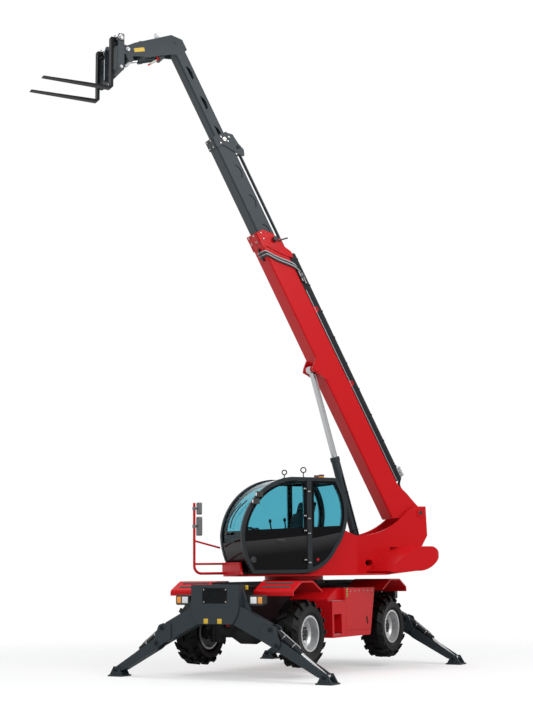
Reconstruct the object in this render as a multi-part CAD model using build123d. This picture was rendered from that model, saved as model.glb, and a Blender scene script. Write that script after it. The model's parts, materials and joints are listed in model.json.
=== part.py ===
from build123d import *
import os
from math import atan2, cos, degrees, hypot, radians, sin

# Rotating telescopic handler standing on four stabiliser legs, boom raised and half out.
# Millimetres. +X is the chassis's forward way, +Y its left, +Z up, ground at Z = 0.
# Everything is drawn about the slew axis and moved to the middle of the whole box at the end.

# Chassis
WHEELBASE = 3000.0
OVERALL_WIDTH = 2400.0
AXLE_HEIGHT = 710.0
FRAME_HALF_WIDTH = 330.0
FRAME_LENGTH = 4680.0
FRAME_TOP = 1470.0
FRAME_BELLY = 640.0
FRAME_WALL = 45.0
FRAME_ARCH = 940.0
FRAME_ARCH_HALF_LENGTH = 340.0
DECK_THICKNESS = 30.0
DECK_HALF_WIDTH = 455.0
DECK_COVER_HEIGHT = 45.0
SLEW_RADIUS = 545.0
SLEW_TOWER_TOP = 1560.0
SLEW_GAP = 0.5

# Wheels and axles
TYRE_RADIUS = 555.0
TYRE_WIDTH = 430.0
TREAD_DEPTH = 38.0
TREAD_PITCHES = 15
LUG_WIDTH = 64.0
RIM_RADIUS = 292.0
RIM_WIDTH = 380.0
RIM_WALL = 30.0
HUB_RADIUS = 120.0
SPINDLE_RADIUS = 60.0
KINGPIN_Y = 700.0
KINGPIN_RADIUS = 28.0
KNUCKLE_RADIUS = 62.0
KNUCKLE_HEIGHT = 240.0
YOKE_PLATE = 45.0
AXLE_TUBE_RADIUS = 90.0
DIFFERENTIAL_RADIUS = 190.0
SEAT_HALF_WIDTH = 110.0

# Stabilisers, measured in the plane across the chassis
BEAM_THICKNESS = 180.0
STABILISER_X = FRAME_LENGTH / 2 + BEAM_THICKNESS / 2
SHIELD_HALF_WIDTH = 460.0
BEAM_END_Y = 990.0
LEG_PIVOT_Y = 1155.0
LEG_PIVOT_Z = 570.0
LEG_CYLINDER_Y = 1045.0
LEG_CYLINDER_Z = 815.0
FOOT_PIN_Y = 2000.0
FOOT_PIN_Z = 115.0
EAR_PLATE = 25.0
LEG_PLATE = 25.0
LEG_CHANNEL_HALF = 58.0
LEG_PIN_RADIUS = 32.0
FOOT_SIZE = 300.0
FOOT_PLATE = 25.0
GRILLE_WIDTH = 480.0
GRILLE_HEIGHT = 250.0
GRILLE_Z = 1335.0
GRILLE_SLOTS = 7
LEG_BARREL_RADIUS = 48.0
LEG_BARREL_LENGTH = 620.0
LEG_ROD_RADIUS = 30.0
LEG_ROD_LENGTH = 600.0
LEG_EYE_RADIUS = 46.0
HITCH_Z = 1010.0
HITCH_RADIUS = 20.0

# Mudguards, side pods and engine
FENDER_WALL = 28.0
FENDER_TOP = 1560.0
FENDER_LIP_X = 2085.0
POD_OUTER_Y = 1150.0
POD_FRONT_X = 700.0
POD_REAR_X = 880.0
POD_TOP = 1420.0
POD_BOTTOM = 600.0
POD_WALL = 30.0
STEP_DEPTH = 190.0
STEP_LOW = 650.0
STEP_HIGH = 990.0
STEP_WIDTH = 270.0
LAMP_AHEAD = 80.0
LAMP_X = FRAME_LENGTH / 2 + LAMP_AHEAD
LAMP_Y = 715.0
LAMP_Z = 1265.0
LAMP_WIDTH = 270.0
LAMP_HEIGHT = 165.0
LAMP_DEPTH = 110.0
SEAM = 8.0
SEAM_X = 210.0

# Turret
TURRET_HEADING = -33.0
TURRET_FLOOR = 1635.0
FLOOR_PLATE = 30.0
CHEEK_INNER = 240.0
CHEEK_PLATE = 40.0
BOOM_PIVOT_X = -2490.0
BOOM_PIVOT_Z = 2760.0
PIVOT_PIN_RADIUS = 45.0
LIFT_BASE_X = -1400.0
LIFT_BASE_Z = 1850.0
TAIL_RADIUS = 2600.0
TAIL_HALF_WIDTH = 1100.0
COUNTERWEIGHT_TOP = 2130.0
COUNTERWEIGHT_FRONT = -1820.0
WING_FRONT = -1340.0

# Cab, in the turret's frame
CAB_RIGHT = 300.0
CAB_LEFT = 1190.0
CAB_FLOOR = 1680.0
CAB_ROOF = 3300.0
CAB_REAR = -450.0
CAB_FRONT = 1560.0
HOOP_TUBE = 62.0
CAB_WALL = 40.0
PAN = 30.0
GLASS = 12.0
POST_X = 240.0
POST_WIDTH = 90.0
SILL_Z = 2455.0
SILL_DROP = 62.0
DOOR_GAP = 6.0
HOOD_OUTER = 1090.0
HOOD_FRONT = 800.0
HOOD_WALL = 25.0
HINGE_RADIUS = 11.0
HINGE_HEIGHT = 45.0
HINGE_LEVELS = (1880.0, 2370.0, 2620.0, 3080.0)
GUARD_TUBE_RADIUS = 22.0
GUARD_X = 2050.0
GUARD_Y = 330.0
GUARD_TOP = 2880.0
MIRRORS = ((2785.0, 205.0, 110.0), (2485.0, 320.0, 130.0))

# Boom, in its own frame: X along the boom from the pivot, Z square to it
BOOM_ANGLE = 62.0
BOOM_CENTRE = -329.0
OUTER_WIDTH = 400.0
OUTER_DEPTH = 418.0
OUTER_ROOT = 150.0
ROOT_PLATE_END = 700.0
OUTER_END = 5960.0
MID_WIDTH = 312.0
MID_DEPTH = 310.0
MID_LENGTH = 5750.0
MID_END = 7850.0
INNER_CENTRE = -306.0
INNER_WIDTH = 250.0
INNER_DEPTH = 215.0
INNER_LENGTH = 5700.0
INNER_END = 9480.0
BOOM_WALL = 12.0
COLLAR_LENGTH = 200.0
COLLAR_PROUD = 12.0
SLIDE_GAP = 0.4
SLOT_LENGTH = 270.0
SLOT_PITCH = 592.0
TUBE_RADIUS = 24.0
TUBE_RISE = 114.0
TUBE_Y = 40.0
RAIL_WIDTH = 95.0
RAIL_HEIGHT = 130.0
EYE_X = 3270.0
EYE_Z = -620.0
LIFT_BARREL_RADIUS = 80.0
LIFT_BARREL_LENGTH = 1990.0
LIFT_ROD_RADIUS = 54.0
LIFT_ROD_LENGTH = 2015.0
LIFT_EYE_RADIUS = 72.0
LIFT_LUG = 36.0
LUG_PROUD = 6.0

# End plates of the sections, from each section's end and top
OUTER_PLATE = ((0, -276), (-152, -110), (-286, -114), (-586, 67), (-702, 50), (-573, -107), (-303, -338))
MID_PLATE = ((0, -41), (-91, 87), (-288, 117), (-428, 165), (-539, 120), (-506, 58), (-200, -176))

# Head, carriage and forks; the tilt pivot is given in the turret's frame with the forks level
TILT_X = 3240.0
TILT_Z = 10870.0
TILT_PIN_RADIUS = 34.0
TILT_LEVER = 190.0
TILT_LEVER_ANGLE = -110.9
TILT_BASE_REACH = 660.0
HEAD_WIDTH = 250.0
HEAD_PLATE = 30.0
TILT_BARREL_RADIUS = 50.0
TILT_ROD_RADIUS = 28.0
TILT_BARREL_LENGTH = 440.0
TILT_ROD_LENGTH = 436.0
CARRIAGE_WIDTH = 1120.0
CARRIAGE_PLATE = 30.0
FORK_SHAFT_RADIUS = 35.0
FORK_SPACING = 740.0
FORK_LENGTH = 1200.0
FORK_WIDTH = 120.0
FORK_THICKNESS = 45.0
FORK_DROP = 855.0
FORK_REACH = 420.0

PIN_GAP = 0.3
SIDE_GAP = 1.0
SIGNS = {"left": 1, "right": -1}
ENDS = {"front": 1, "rear": -1}
CORNERS = {"fl": (1, 1), "fr": (1, -1), "rl": (-1, 1), "rr": (-1, -1)}


def outline(*points, radius=0.0):
    """A face from its corner points, with rounded corners where a radius is given."""
    if radius:
        return make_face(FilletPolyline(*points, radius=radius, close=True))
    return make_face(Polyline(*points, close=True))


def slab_y(face, low, high):
    """A face drawn in X and Z, made solid from y = low to y = high."""
    return extrude(Plane.XZ.offset(-low) * face, amount=high - low, dir=(0, 1, 0))


def slab_x(face, low, high):
    """A face drawn in Y and Z, made solid from x = low to x = high."""
    return extrude(Plane.YZ.offset(low) * face, amount=high - low, dir=(1, 0, 0))


def slab_z(face, low, high):
    """A face drawn in X and Y, made solid from z = low to z = high."""
    return extrude(Plane.XY.offset(low) * face, amount=high - low, dir=(0, 0, 1))


def block(low, high):
    """A box between two opposite corners."""
    size = [h - l for l, h in zip(low, high)]
    middle = [(h + l) / 2 for l, h in zip(low, high)]
    return Pos(*middle) * Box(*size)


def bar_y(x, z, radius, low, high):
    """A round bar along Y."""
    return Pos(x, (low + high) / 2, z) * Rot(90, 0, 0) * Cylinder(radius, high - low)


def bar_x(y, z, radius, low, high):
    """A round bar along X."""
    return Pos((low + high) / 2, y, z) * Rot(0, 90, 0) * Cylinder(radius, high - low)


def bar_z(x, y, radius, low, high):
    """A round bar along Z."""
    return Pos(x, y, (low + high) / 2) * Cylinder(radius, high - low)


def mirror_y(shape):
    """The same shape on the other side of the chassis."""
    return mirror(shape, about=Plane.XZ)


def mirror_x(shape):
    """The same shape at the other end of the chassis."""
    return mirror(shape, about=Plane.YZ)


# Chassis pieces

def chassis_frame():
    """Welded spine arched over both axles, with the deck and the slew tower on top."""
    end = FRAME_LENGTH / 2
    axle = WHEELBASE / 2
    near = axle - FRAME_ARCH_HALF_LENGTH
    far = axle + FRAME_ARCH_HALF_LENGTH
    lift = FRAME_ARCH - FRAME_BELLY
    half = [(near - lift, FRAME_BELLY), (near, FRAME_ARCH), (far, FRAME_ARCH), (end, FRAME_ARCH)]
    right = half + [(end, FRAME_TOP)]
    left = [(-x, z) for x, z in reversed(right)]
    spine = slab_y(outline(*right, *left), -FRAME_HALF_WIDTH, FRAME_HALF_WIDTH)
    wall = FRAME_WALL
    room_half = [(near - lift - wall * 0.4, FRAME_BELLY + wall), (near - wall * 0.4, FRAME_ARCH + wall)]
    room_right = room_half + [(end + 1, FRAME_ARCH + wall), (end + 1, FRAME_TOP - wall)]
    room_left = [(-x, z) for x, z in reversed(room_right)]
    inside = FRAME_HALF_WIDTH - wall
    spine -= slab_y(outline(*room_right, *room_left), -inside, inside)
    deck_top = FRAME_TOP + DECK_THICKNESS
    deck = block((-end, -DECK_HALF_WIDTH, FRAME_TOP), (end, DECK_HALF_WIDTH, deck_top))
    tower = bar_z(0, 0, SLEW_RADIUS, deck_top - 1, SLEW_TOWER_TOP)
    cover_face = RectangleRounded(end - SLEW_RADIUS - 220, 2 * FRAME_HALF_WIDTH - 60, 60)
    cover_x = (end + SLEW_RADIUS) / 2
    cover = slab_z(Pos(cover_x, 0) * cover_face, deck_top - 1, deck_top + DECK_COVER_HEIGHT)
    return spine + deck + tower + cover + mirror_x(cover)


def stabiliser_beam(end_name):
    """Front or rear cross beam: shield with bowed sides, two inclined arms and their pivot ears."""
    half = BEAM_THICKNESS / 2
    top = FRAME_TOP + DECK_THICKNESS + 10
    shield_line = (
        Line((-SHIELD_HALF_WIDTH, top), (SHIELD_HALF_WIDTH, top))
        + Line((SHIELD_HALF_WIDTH, top), (SHIELD_HALF_WIDTH, top - 300))
        + ThreePointArc((SHIELD_HALF_WIDTH, top - 300), (430, top - 470), (330, top - 625))
        + Line((330, top - 625), (-330, top - 625))
        + ThreePointArc((-330, top - 625), (-430, top - 470), (-SHIELD_HALF_WIDTH, top - 300))
        + Line((-SHIELD_HALF_WIDTH, top - 300), (-SHIELD_HALF_WIDTH, top))
    )
    front = STABILISER_X + half + 25
    shield = slab_x(make_face(shield_line), FRAME_LENGTH / 2, front)
    if end_name == "front":
        shield -= grille_cut(front)
    arm_face = outline((0, 1240), (300, 1240), (BEAM_END_Y, 900), (BEAM_END_Y, 580), (330, 885), (0, 885))
    arm = slab_x(arm_face, STABILISER_X - half, STABILISER_X + half)
    gusset_face = outline((440, top - 40), (440, 1160), (640, 1060))
    gusset = slab_x(gusset_face, STABILISER_X - 30, STABILISER_X)
    ear_face = outline(
        (BEAM_END_Y - 120, 880),
        (LEG_CYLINDER_Y - 20, LEG_CYLINDER_Z + 75),
        (LEG_CYLINDER_Y + 65, LEG_CYLINDER_Z + 45),
        (LEG_PIVOT_Y + 75, LEG_PIVOT_Z + 20),
        (LEG_PIVOT_Y + 10, LEG_PIVOT_Z - 75),
        (BEAM_END_Y - 120, 640),
        radius=30,
    )
    ear = slab_x(ear_face, half, half + EAR_PLATE)
    ears = Pos(STABILISER_X, 0, 0) * (ear + mirror_x(ear))
    beam = shield + arm + gusset + ears
    beam = beam + mirror_y(arm + gusset + ears)
    for sign in SIGNS.values():
        for y, z in ((LEG_PIVOT_Y, LEG_PIVOT_Z), (LEG_CYLINDER_Y, LEG_CYLINDER_Z)):
            head = bar_x(sign * y, z, LEG_PIN_RADIUS + 10, half + EAR_PLATE - 1, half + EAR_PLATE + 15)
            beam += Pos(STABILISER_X, 0, 0) * (head + mirror_x(head))
        pin = bar_x(sign * LEG_PIVOT_Y, LEG_PIVOT_Z, LEG_PIN_RADIUS, -half - 1, half + 1)
        beam += Pos(STABILISER_X, 0, 0) * pin
        base_pin = bar_x(sign * LEG_CYLINDER_Y, LEG_CYLINDER_Z, LEG_PIN_RADIUS - 8, -half - 1, half + 1)
        beam += Pos(STABILISER_X, 0, 0) * base_pin
    if end_name == "rear":
        beam = mirror_x(beam) + tow_hitch()
    return beam


def grille_cut(front):
    """Recess for the air grille in the front shield, with its row of slots."""
    recess_face = Pos(0, GRILLE_Z) * RectangleRounded(GRILLE_WIDTH, GRILLE_HEIGHT, 20)
    cut = slab_x(recess_face, front - 12, front + 1)
    pitch = (GRILLE_HEIGHT - 30) / GRILLE_SLOTS
    for row in range(GRILLE_SLOTS):
        z = GRILLE_Z + (row - (GRILLE_SLOTS - 1) / 2) * pitch
        slot_face = Pos(0, z) * SlotOverall(GRILLE_WIDTH - 60, pitch * 0.5)
        cut += slab_x(slot_face, front - 45, front - 11)
    return cut


def tow_hitch():
    """Two-jaw hitch on the rear shield with an upright pin hole."""
    face_x = -(STABILISER_X + BEAM_THICKNESS / 2 + 25)
    jaw_face = outline((face_x + 1, -70), (face_x + 1, 70), (face_x - 110, 50), (face_x - 110, -50))
    jaw = slab_z(jaw_face, HITCH_Z + 30, HITCH_Z + 55) + slab_z(jaw_face, HITCH_Z - 55, HITCH_Z - 30)
    return jaw - bar_z(face_x - 65, 0, HITCH_RADIUS, HITCH_Z - 100, HITCH_Z + 100)


def axle(end_sign):
    """Steering axle: tube with a differential bulge, frame seats and a yoke at each end."""
    tube_end = KINGPIN_Y - 120
    profile = outline(
        (0, -tube_end),
        (AXLE_TUBE_RADIUS, -tube_end),
        (AXLE_TUBE_RADIUS, -330),
        (DIFFERENTIAL_RADIUS, -140),
        (DIFFERENTIAL_RADIUS, 140),
        (AXLE_TUBE_RADIUS, 330),
        (AXLE_TUBE_RADIUS, tube_end),
        (0, tube_end),
    )
    housing = Pos(0, 0, AXLE_HEIGHT) * revolve(profile, axis=Axis.Y)
    reach = KNUCKLE_HEIGHT / 2 + SIDE_GAP
    yoke_top = reach + YOKE_PLATE
    web_end = KINGPIN_Y - KNUCKLE_RADIUS - 12
    web = block((-70, tube_end - 70, AXLE_HEIGHT - yoke_top), (70, web_end, AXLE_HEIGHT + yoke_top))
    jaw_face = Pos(0, (tube_end + KINGPIN_Y) / 2) * Rectangle(120, KINGPIN_Y - tube_end)
    jaw_face = jaw_face + Pos(0, KINGPIN_Y) * Circle(60)
    hole = bar_z(0, KINGPIN_Y, KINGPIN_RADIUS + PIN_GAP, 0, 2 * AXLE_HEIGHT)
    jaws = slab_z(jaw_face, AXLE_HEIGHT + reach, AXLE_HEIGHT + yoke_top)
    jaws += slab_z(jaw_face, AXLE_HEIGHT - yoke_top, AXLE_HEIGHT - reach)
    seat_end = FRAME_HALF_WIDTH - 10
    seat = block((-SEAT_HALF_WIDTH, 210, AXLE_HEIGHT), (SEAT_HALF_WIDTH, seat_end, FRAME_ARCH))
    side = web + (jaws - hole) + seat
    return Pos(end_sign * WHEELBASE / 2, 0, 0) * (housing + side + mirror_y(side))


def knuckle(corner):
    """Steering knuckle: upright barrel with trunnions, brake flange, spindle and steering arm."""
    end_sign, side_sign = CORNERS[corner]
    half = KNUCKLE_HEIGHT / 2
    barrel = bar_z(0, KINGPIN_Y, KNUCKLE_RADIUS, AXLE_HEIGHT - half, AXLE_HEIGHT + half)
    trunnion_reach = half + SIDE_GAP + YOKE_PLATE
    low = AXLE_HEIGHT - trunnion_reach
    trunnions = bar_z(0, KINGPIN_Y, KINGPIN_RADIUS, low, AXLE_HEIGHT + trunnion_reach)
    wheel_y = OVERALL_WIDTH / 2 - TYRE_WIDTH / 2
    flange = bar_y(0, AXLE_HEIGHT, HUB_RADIUS - 5, KINGPIN_Y + 50, wheel_y - 70)
    spindle = bar_y(0, AXLE_HEIGHT, SPINDLE_RADIUS, KINGPIN_Y, wheel_y + 20)
    arm = block((40, KINGPIN_Y - 8, AXLE_HEIGHT - 100), (150, KINGPIN_Y + 30, AXLE_HEIGHT - 60))
    piece = barrel + trunnions + flange + spindle + arm
    piece = piece if side_sign > 0 else mirror_y(piece)
    piece = piece if end_sign > 0 else mirror_x(piece)
    return Pos(end_sign * WHEELBASE / 2, 0, 0) * piece


def wheel_place(corner):
    """Where a wheel drawn about the Y axis, outer side +Y, goes on the chassis."""
    end_sign, side_sign = CORNERS[corner]
    centre = Pos(end_sign * WHEELBASE / 2, side_sign * (OVERALL_WIDTH - TYRE_WIDTH) / 2, AXLE_HEIGHT)
    return centre if side_sign > 0 else centre * Rot(0, 0, 180)


def tread_lug():
    """One slanted lug on the left half of the tread, at the top of the wheel."""
    half = TYRE_WIDTH / 2
    crown = TYRE_RADIUS - 8
    edge = LUG_WIDTH / 2
    plan = outline(
        (-55 - edge, -10),
        (-55 + edge, -10),
        (62 + edge, half + 4),
        (62 - edge, half + 4),
    )
    lug = slab_z(plan, TYRE_RADIUS - TREAD_DEPTH - 55, crown)
    shoulder = outline((half - 60, crown + 1), (half + 5, crown + 1), (half + 5, crown - 62))
    return lug - slab_x(shoulder, -2 * LUG_WIDTH, 2 * LUG_WIDTH)


def tyre_body():
    """Wide traction tyre about the Y axis: a faceted carcass with two staggered rows of lugs."""
    half = TYRE_WIDTH / 2
    bead = RIM_WIDTH / 2 - 15
    base = TYRE_RADIUS - TREAD_DEPTH
    sides = 2 * TREAD_PITCHES
    turn = 180 / sides
    spread = 1 / cos(radians(turn))
    inside = (RIM_RADIUS + PIN_GAP) * spread
    rings = [
        (inside, bead),
        (RIM_RADIUS + 55, half - 12),
        (base - 85, half),
        (base, half - 75),
    ]
    rings = [(radius, -y) for radius, y in rings] + [(radius, y) for radius, y in reversed(rings)]
    sections = [Plane.XZ.offset(-y) * RegularPolygon(radius, sides, rotation=turn) for radius, y in rings]
    body = loft(sections, ruled=True)
    body -= slab_y(RegularPolygon(inside, sides, rotation=turn), -bead - 1, bead + 1)
    lug = tread_lug()
    pitch = 360 / TREAD_PITCHES
    lugs = [Rot(0, pitch * i, 0) * lug for i in range(TREAD_PITCHES)]
    lugs += [Rot(0, pitch * (i + 0.5), 0) * mirror_y(lug) for i in range(TREAD_PITCHES)]
    return body.fuse(*lugs)


def tyre(corner, body):
    """The tyre of one corner."""
    return wheel_place(corner) * body


def rim(corner):
    """Dished disc wheel with a drop-centre barrel, flanges and a reduction hub."""
    half = RIM_WIDTH / 2
    bore = SPINDLE_RADIUS + PIN_GAP
    lip = RIM_RADIUS - RIM_WALL
    profile = outline(
        (bore, -60),
        (HUB_RADIUS, -60),
        (HUB_RADIUS, -10),
        (lip - 40, 0),
        (lip, -60),
        (lip, -half),
        (RIM_RADIUS, -half),
        (RIM_RADIUS, half),
        (lip, half),
        (lip - 10, 60),
        (lip - 40, 30),
        (HUB_RADIUS, 25),
        (HUB_RADIUS - 15, 80),
        (0, 95),
        (0, 40),
        (bore, 40),
    )
    return wheel_place(corner) * revolve(profile, axis=Axis.Y)


def leg_angle():
    """Slope of a leg on the ground, degrees below level."""
    return degrees(atan2(LEG_PIVOT_Z - FOOT_PIN_Z, FOOT_PIN_Y - LEG_PIVOT_Y))


def leg_reach():
    """Leg pivot to foot pin."""
    return hypot(LEG_PIVOT_Z - FOOT_PIN_Z, FOOT_PIN_Y - LEG_PIVOT_Y)


def corner_place(corner, y, z):
    """A point on a corner's stabiliser plane; local X points outwards from the chassis there."""
    end_sign, side_sign = CORNERS[corner]
    return Pos(end_sign * STABILISER_X, side_sign * y, z) * Rot(0, 0, 90 * side_sign)


def stabiliser_leg(corner):
    """Channel leg open on top round its cylinder, with the swivel foot on its end pin."""
    reach = leg_reach()
    side_face = outline(
        (-70, -60),
        (-70, 60),
        (60, 90),
        (240, 78),
        (reach - 60, 50),
        (reach + 52, 40),
        (reach + 52, -35),
        (reach - 120, -72),
        (60, -85),
        radius=25,
    )
    near = LEG_CHANNEL_HALF
    side = slab_y(side_face, near, near + LEG_PLATE)
    floor_face = outline((100, -83), (100, -58), (reach - 150, -47), (reach - 150, -72))
    floor = slab_y(floor_face, -near - 1, near + 1)
    leg = side + mirror_y(side) + floor
    leg -= bar_y(0, 0, LEG_PIN_RADIUS + PIN_GAP, -2 * near, 2 * near)
    outer = near + LEG_PLATE
    pin_end = outer + 2 * EAR_PLATE
    stub = bar_y(reach, 0, LEG_PIN_RADIUS, near, pin_end + 12)
    leg += stub + mirror_y(stub)
    leg = Rot(0, leg_angle(), 0) * leg
    foot = Pos(reach * cos(radians(leg_angle())), 0, -reach * sin(radians(leg_angle()))) * leg_foot(outer)
    return corner_place(corner, LEG_PIVOT_Y, LEG_PIVOT_Z) * Compound(children=[leg, foot])


def leg_foot(outer):
    """Ground plate with a pair of gusset lugs round the pin, drawn about the pin."""
    half = FOOT_SIZE / 2
    base = slab_z(RectangleRounded(FOOT_SIZE, FOOT_SIZE, 30), -FOOT_PIN_Z, -FOOT_PIN_Z + FOOT_PLATE)
    lug_low = -FOOT_PIN_Z + FOOT_PLATE - 1
    lug_face = outline((-half + 20, lug_low), (-45, 50), (45, 50), (half - 20, lug_low))
    gap = outer + SIDE_GAP
    lug = slab_y(lug_face, gap, gap + EAR_PLATE)
    lug -= bar_y(0, 0, LEG_PIN_RADIUS + PIN_GAP, gap - 1, gap + EAR_PLATE + 1)
    return base + lug + mirror_y(lug)


def leg_cylinder_line():
    """Length and downward slope of the leg cylinder at rest, base pin to foot eye."""
    across = FOOT_PIN_Y - LEG_CYLINDER_Y
    down = LEG_CYLINDER_Z - FOOT_PIN_Z
    return hypot(across, down), degrees(atan2(down, across))


def cylinder_barrel(length, radius, eye_radius, eye_half_width, rod_radius, pin_radius):
    """Hydraulic barrel along +X from its base eye, with a gland and a bore for the rod."""
    eye = bar_y(0, 0, eye_radius, -eye_half_width, eye_half_width)
    tube = bar_x(0, 0, radius, eye_radius * 0.6, length - 70)
    gland = bar_x(0, 0, radius + 8, length - 80, length)
    bore = bar_x(0, 0, rod_radius + PIN_GAP, eye_radius + 20, length + 1)
    barrel = (eye + tube + gland) - bore
    return barrel - bar_y(0, 0, pin_radius + PIN_GAP, -2 * eye_half_width, 2 * eye_half_width)


def cylinder_rod(length, radius, eye_radius, eye_half_width):
    """Piston rod along -X from its own eye."""
    eye = bar_y(0, 0, eye_radius, -eye_half_width, eye_half_width)
    return eye + bar_x(0, 0, radius, -length, 0)


def leg_barrel(corner):
    """Stabiliser cylinder's barrel on the beam's upper pin."""
    barrel = cylinder_barrel(
        LEG_BARREL_LENGTH,
        LEG_BARREL_RADIUS,
        LEG_EYE_RADIUS,
        LEG_CHANNEL_HALF - SIDE_GAP,
        LEG_ROD_RADIUS,
        LEG_PIN_RADIUS - 8,
    )
    slope = leg_cylinder_line()[1]
    return corner_place(corner, LEG_CYLINDER_Y, LEG_CYLINDER_Z) * Rot(0, slope, 0) * barrel


def leg_rod(corner):
    """Stabiliser cylinder's rod with its eye at the foot pin."""
    length, slope = leg_cylinder_line()
    rod = cylinder_rod(LEG_ROD_LENGTH, LEG_ROD_RADIUS, LEG_EYE_RADIUS - 6, LEG_CHANNEL_HALF - SIDE_GAP)
    place = corner_place(corner, LEG_CYLINDER_Y, LEG_CYLINDER_Z) * Rot(0, slope, 0)
    return place * Pos(length, 0, 0) * rod


def fenders():
    """Four mudguards over the wheels, each a bent sheet with a front lip."""
    top = FENDER_TOP
    wall = FENDER_WALL
    lip = FENDER_LIP_X
    face = make_face(
        FilletPolyline(
            (lip, top - 235),
            (lip, top - 150),
            (lip - 280, top),
            (1430, top),
            (1120, top - 165),
            (1120, top - 165 - wall),
            (1440, top - wall),
            (lip - 290, top - wall),
            (lip - wall, top - 165),
            (lip - wall, top - 235),
            radius=[4, 50, 90, 120, 4, 4, 120, 90, 30, 4],
            close=True,
        )
    )
    guard = slab_y(face, DECK_HALF_WIDTH, OVERALL_WIDTH / 2)
    right = mirror_y(guard)
    return Compound(children=[guard, right, mirror_x(guard), mirror_x(right)])


def pod_face():
    """Side view of a pod: upright front, raked rear."""
    return outline(
        (POD_FRONT_X, POD_BOTTOM),
        (POD_FRONT_X, POD_TOP - 170),
        (POD_FRONT_X - 330, POD_TOP),
        (-POD_REAR_X, POD_TOP),
        (-POD_REAR_X + 190, POD_BOTTOM),
        radius=25,
    )


def side_pod():
    """Left tank pod, hollow towards the frame, with a recessed step and a ledge above it."""
    room_end = POD_OUTER_Y - STEP_DEPTH - POD_WALL
    room = slab_y(offset(pod_face(), amount=-POD_WALL), FRAME_HALF_WIDTH - 1, room_end)
    pod = slab_y(pod_face(), FRAME_HALF_WIDTH, POD_OUTER_Y) - room
    step_x = POD_FRONT_X - 60
    out = POD_OUTER_Y + 1
    step = block((step_x - STEP_WIDTH, POD_OUTER_Y - STEP_DEPTH, STEP_LOW), (step_x, out, STEP_HIGH))
    ledge = block((step_x - 400, POD_OUTER_Y - 90, POD_TOP - 210), (POD_FRONT_X + 1, out, POD_TOP + 1))
    seam = block((SEAM_X, POD_OUTER_Y - SEAM, POD_BOTTOM - 1), (SEAM_X + SEAM, out, POD_TOP + 1))
    low_seam_z = STEP_LOW + 45
    low_seam = block((-POD_REAR_X, POD_OUTER_Y - SEAM, low_seam_z), (SEAM_X + 1, out, low_seam_z + SEAM))
    handle_face = Pos(-570, STEP_HIGH - 130) * Rot(0, 0, 75) * SlotOverall(150, 55)
    handle = slab_y(handle_face, POD_OUTER_Y - 3 * SEAM, out)
    return pod - step - ledge - seam - low_seam - handle


def engine_hood():
    """Right engine hood, hollow, open towards the frame and below."""
    shell = slab_y(pod_face(), FRAME_HALF_WIDTH, POD_OUTER_Y)
    room_face = offset(pod_face(), amount=-POD_WALL)
    room = slab_y(room_face, FRAME_HALF_WIDTH - 1, POD_OUTER_Y - POD_WALL)
    hood = shell - room
    for row in range(6):
        vent_face = Pos(-150, POD_TOP - 180 - 70 * row) * SlotOverall(560, 32)
        hood -= slab_y(vent_face, POD_OUTER_Y - 2 * POD_WALL, POD_OUTER_Y + 1)
    return mirror_y(hood)


def engine_block():
    """The engine as one plain block, bolted to the frame's right side."""
    low = (-620, -(POD_OUTER_Y - POD_WALL - 70), POD_BOTTOM + 80)
    return block(low, (500, -FRAME_HALF_WIDTH, POD_TOP - 110))


def road_lamps():
    """Head lamps at the front and tail lamps at the rear, each a rounded housing on its bracket."""
    pieces = []
    for end_sign in ENDS.values():
        for side_sign in SIGNS.values():
            y = side_sign * LAMP_Y
            face = Pos(y, LAMP_Z) * RectangleRounded(LAMP_WIDTH, LAMP_HEIGHT, 35)
            lamp = slab_x(face, LAMP_X - LAMP_DEPTH, LAMP_X)
            arm_y = (side_sign * SHIELD_HALF_WIDTH + y) / 2
            arm_face = Pos(arm_y, LAMP_Z) * Rectangle(LAMP_Y - SHIELD_HALF_WIDTH, 40)
            piece = lamp + slab_x(arm_face, LAMP_X - 70, LAMP_X - 40)
            pieces.append(piece if end_sign > 0 else mirror_x(piece))
    return Compound(children=pieces)


# Turret pieces, drawn with the boom pointing along +X

def cheek_face():
    """Side view of a turret cheek: swept top, boom ear at the rear, undercut for the counterweight."""
    ear_x = BOOM_PIVOT_X
    ear_z = BOOM_PIVOT_Z
    line = (
        Line((900, TURRET_FLOOR), (900, 1760))
        + Line((900, 1760), (-400, 2250))
        + Line((-400, 2250), (-1130, 2340))
        + ThreePointArc((-1130, 2340), (-1760, 2460), (ear_x + 280, ear_z + 20))
        + Line((ear_x + 280, ear_z + 20), (ear_x + 110, ear_z + 115))
        + Line((ear_x + 110, ear_z + 115), (ear_x - 120, ear_z + 115))
        + Line((ear_x - 120, ear_z + 115), (ear_x - 140, 2340))
        + Line((ear_x - 140, 2340), (ear_x - 10, COUNTERWEIGHT_TOP))
        + Line((ear_x - 10, COUNTERWEIGHT_TOP), (COUNTERWEIGHT_FRONT, COUNTERWEIGHT_TOP))
        + Line((COUNTERWEIGHT_FRONT, COUNTERWEIGHT_TOP), (COUNTERWEIGHT_FRONT, TURRET_FLOOR))
        + Line((COUNTERWEIGHT_FRONT, TURRET_FLOOR), (900, TURRET_FLOOR))
    )
    return make_face(line)


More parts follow.
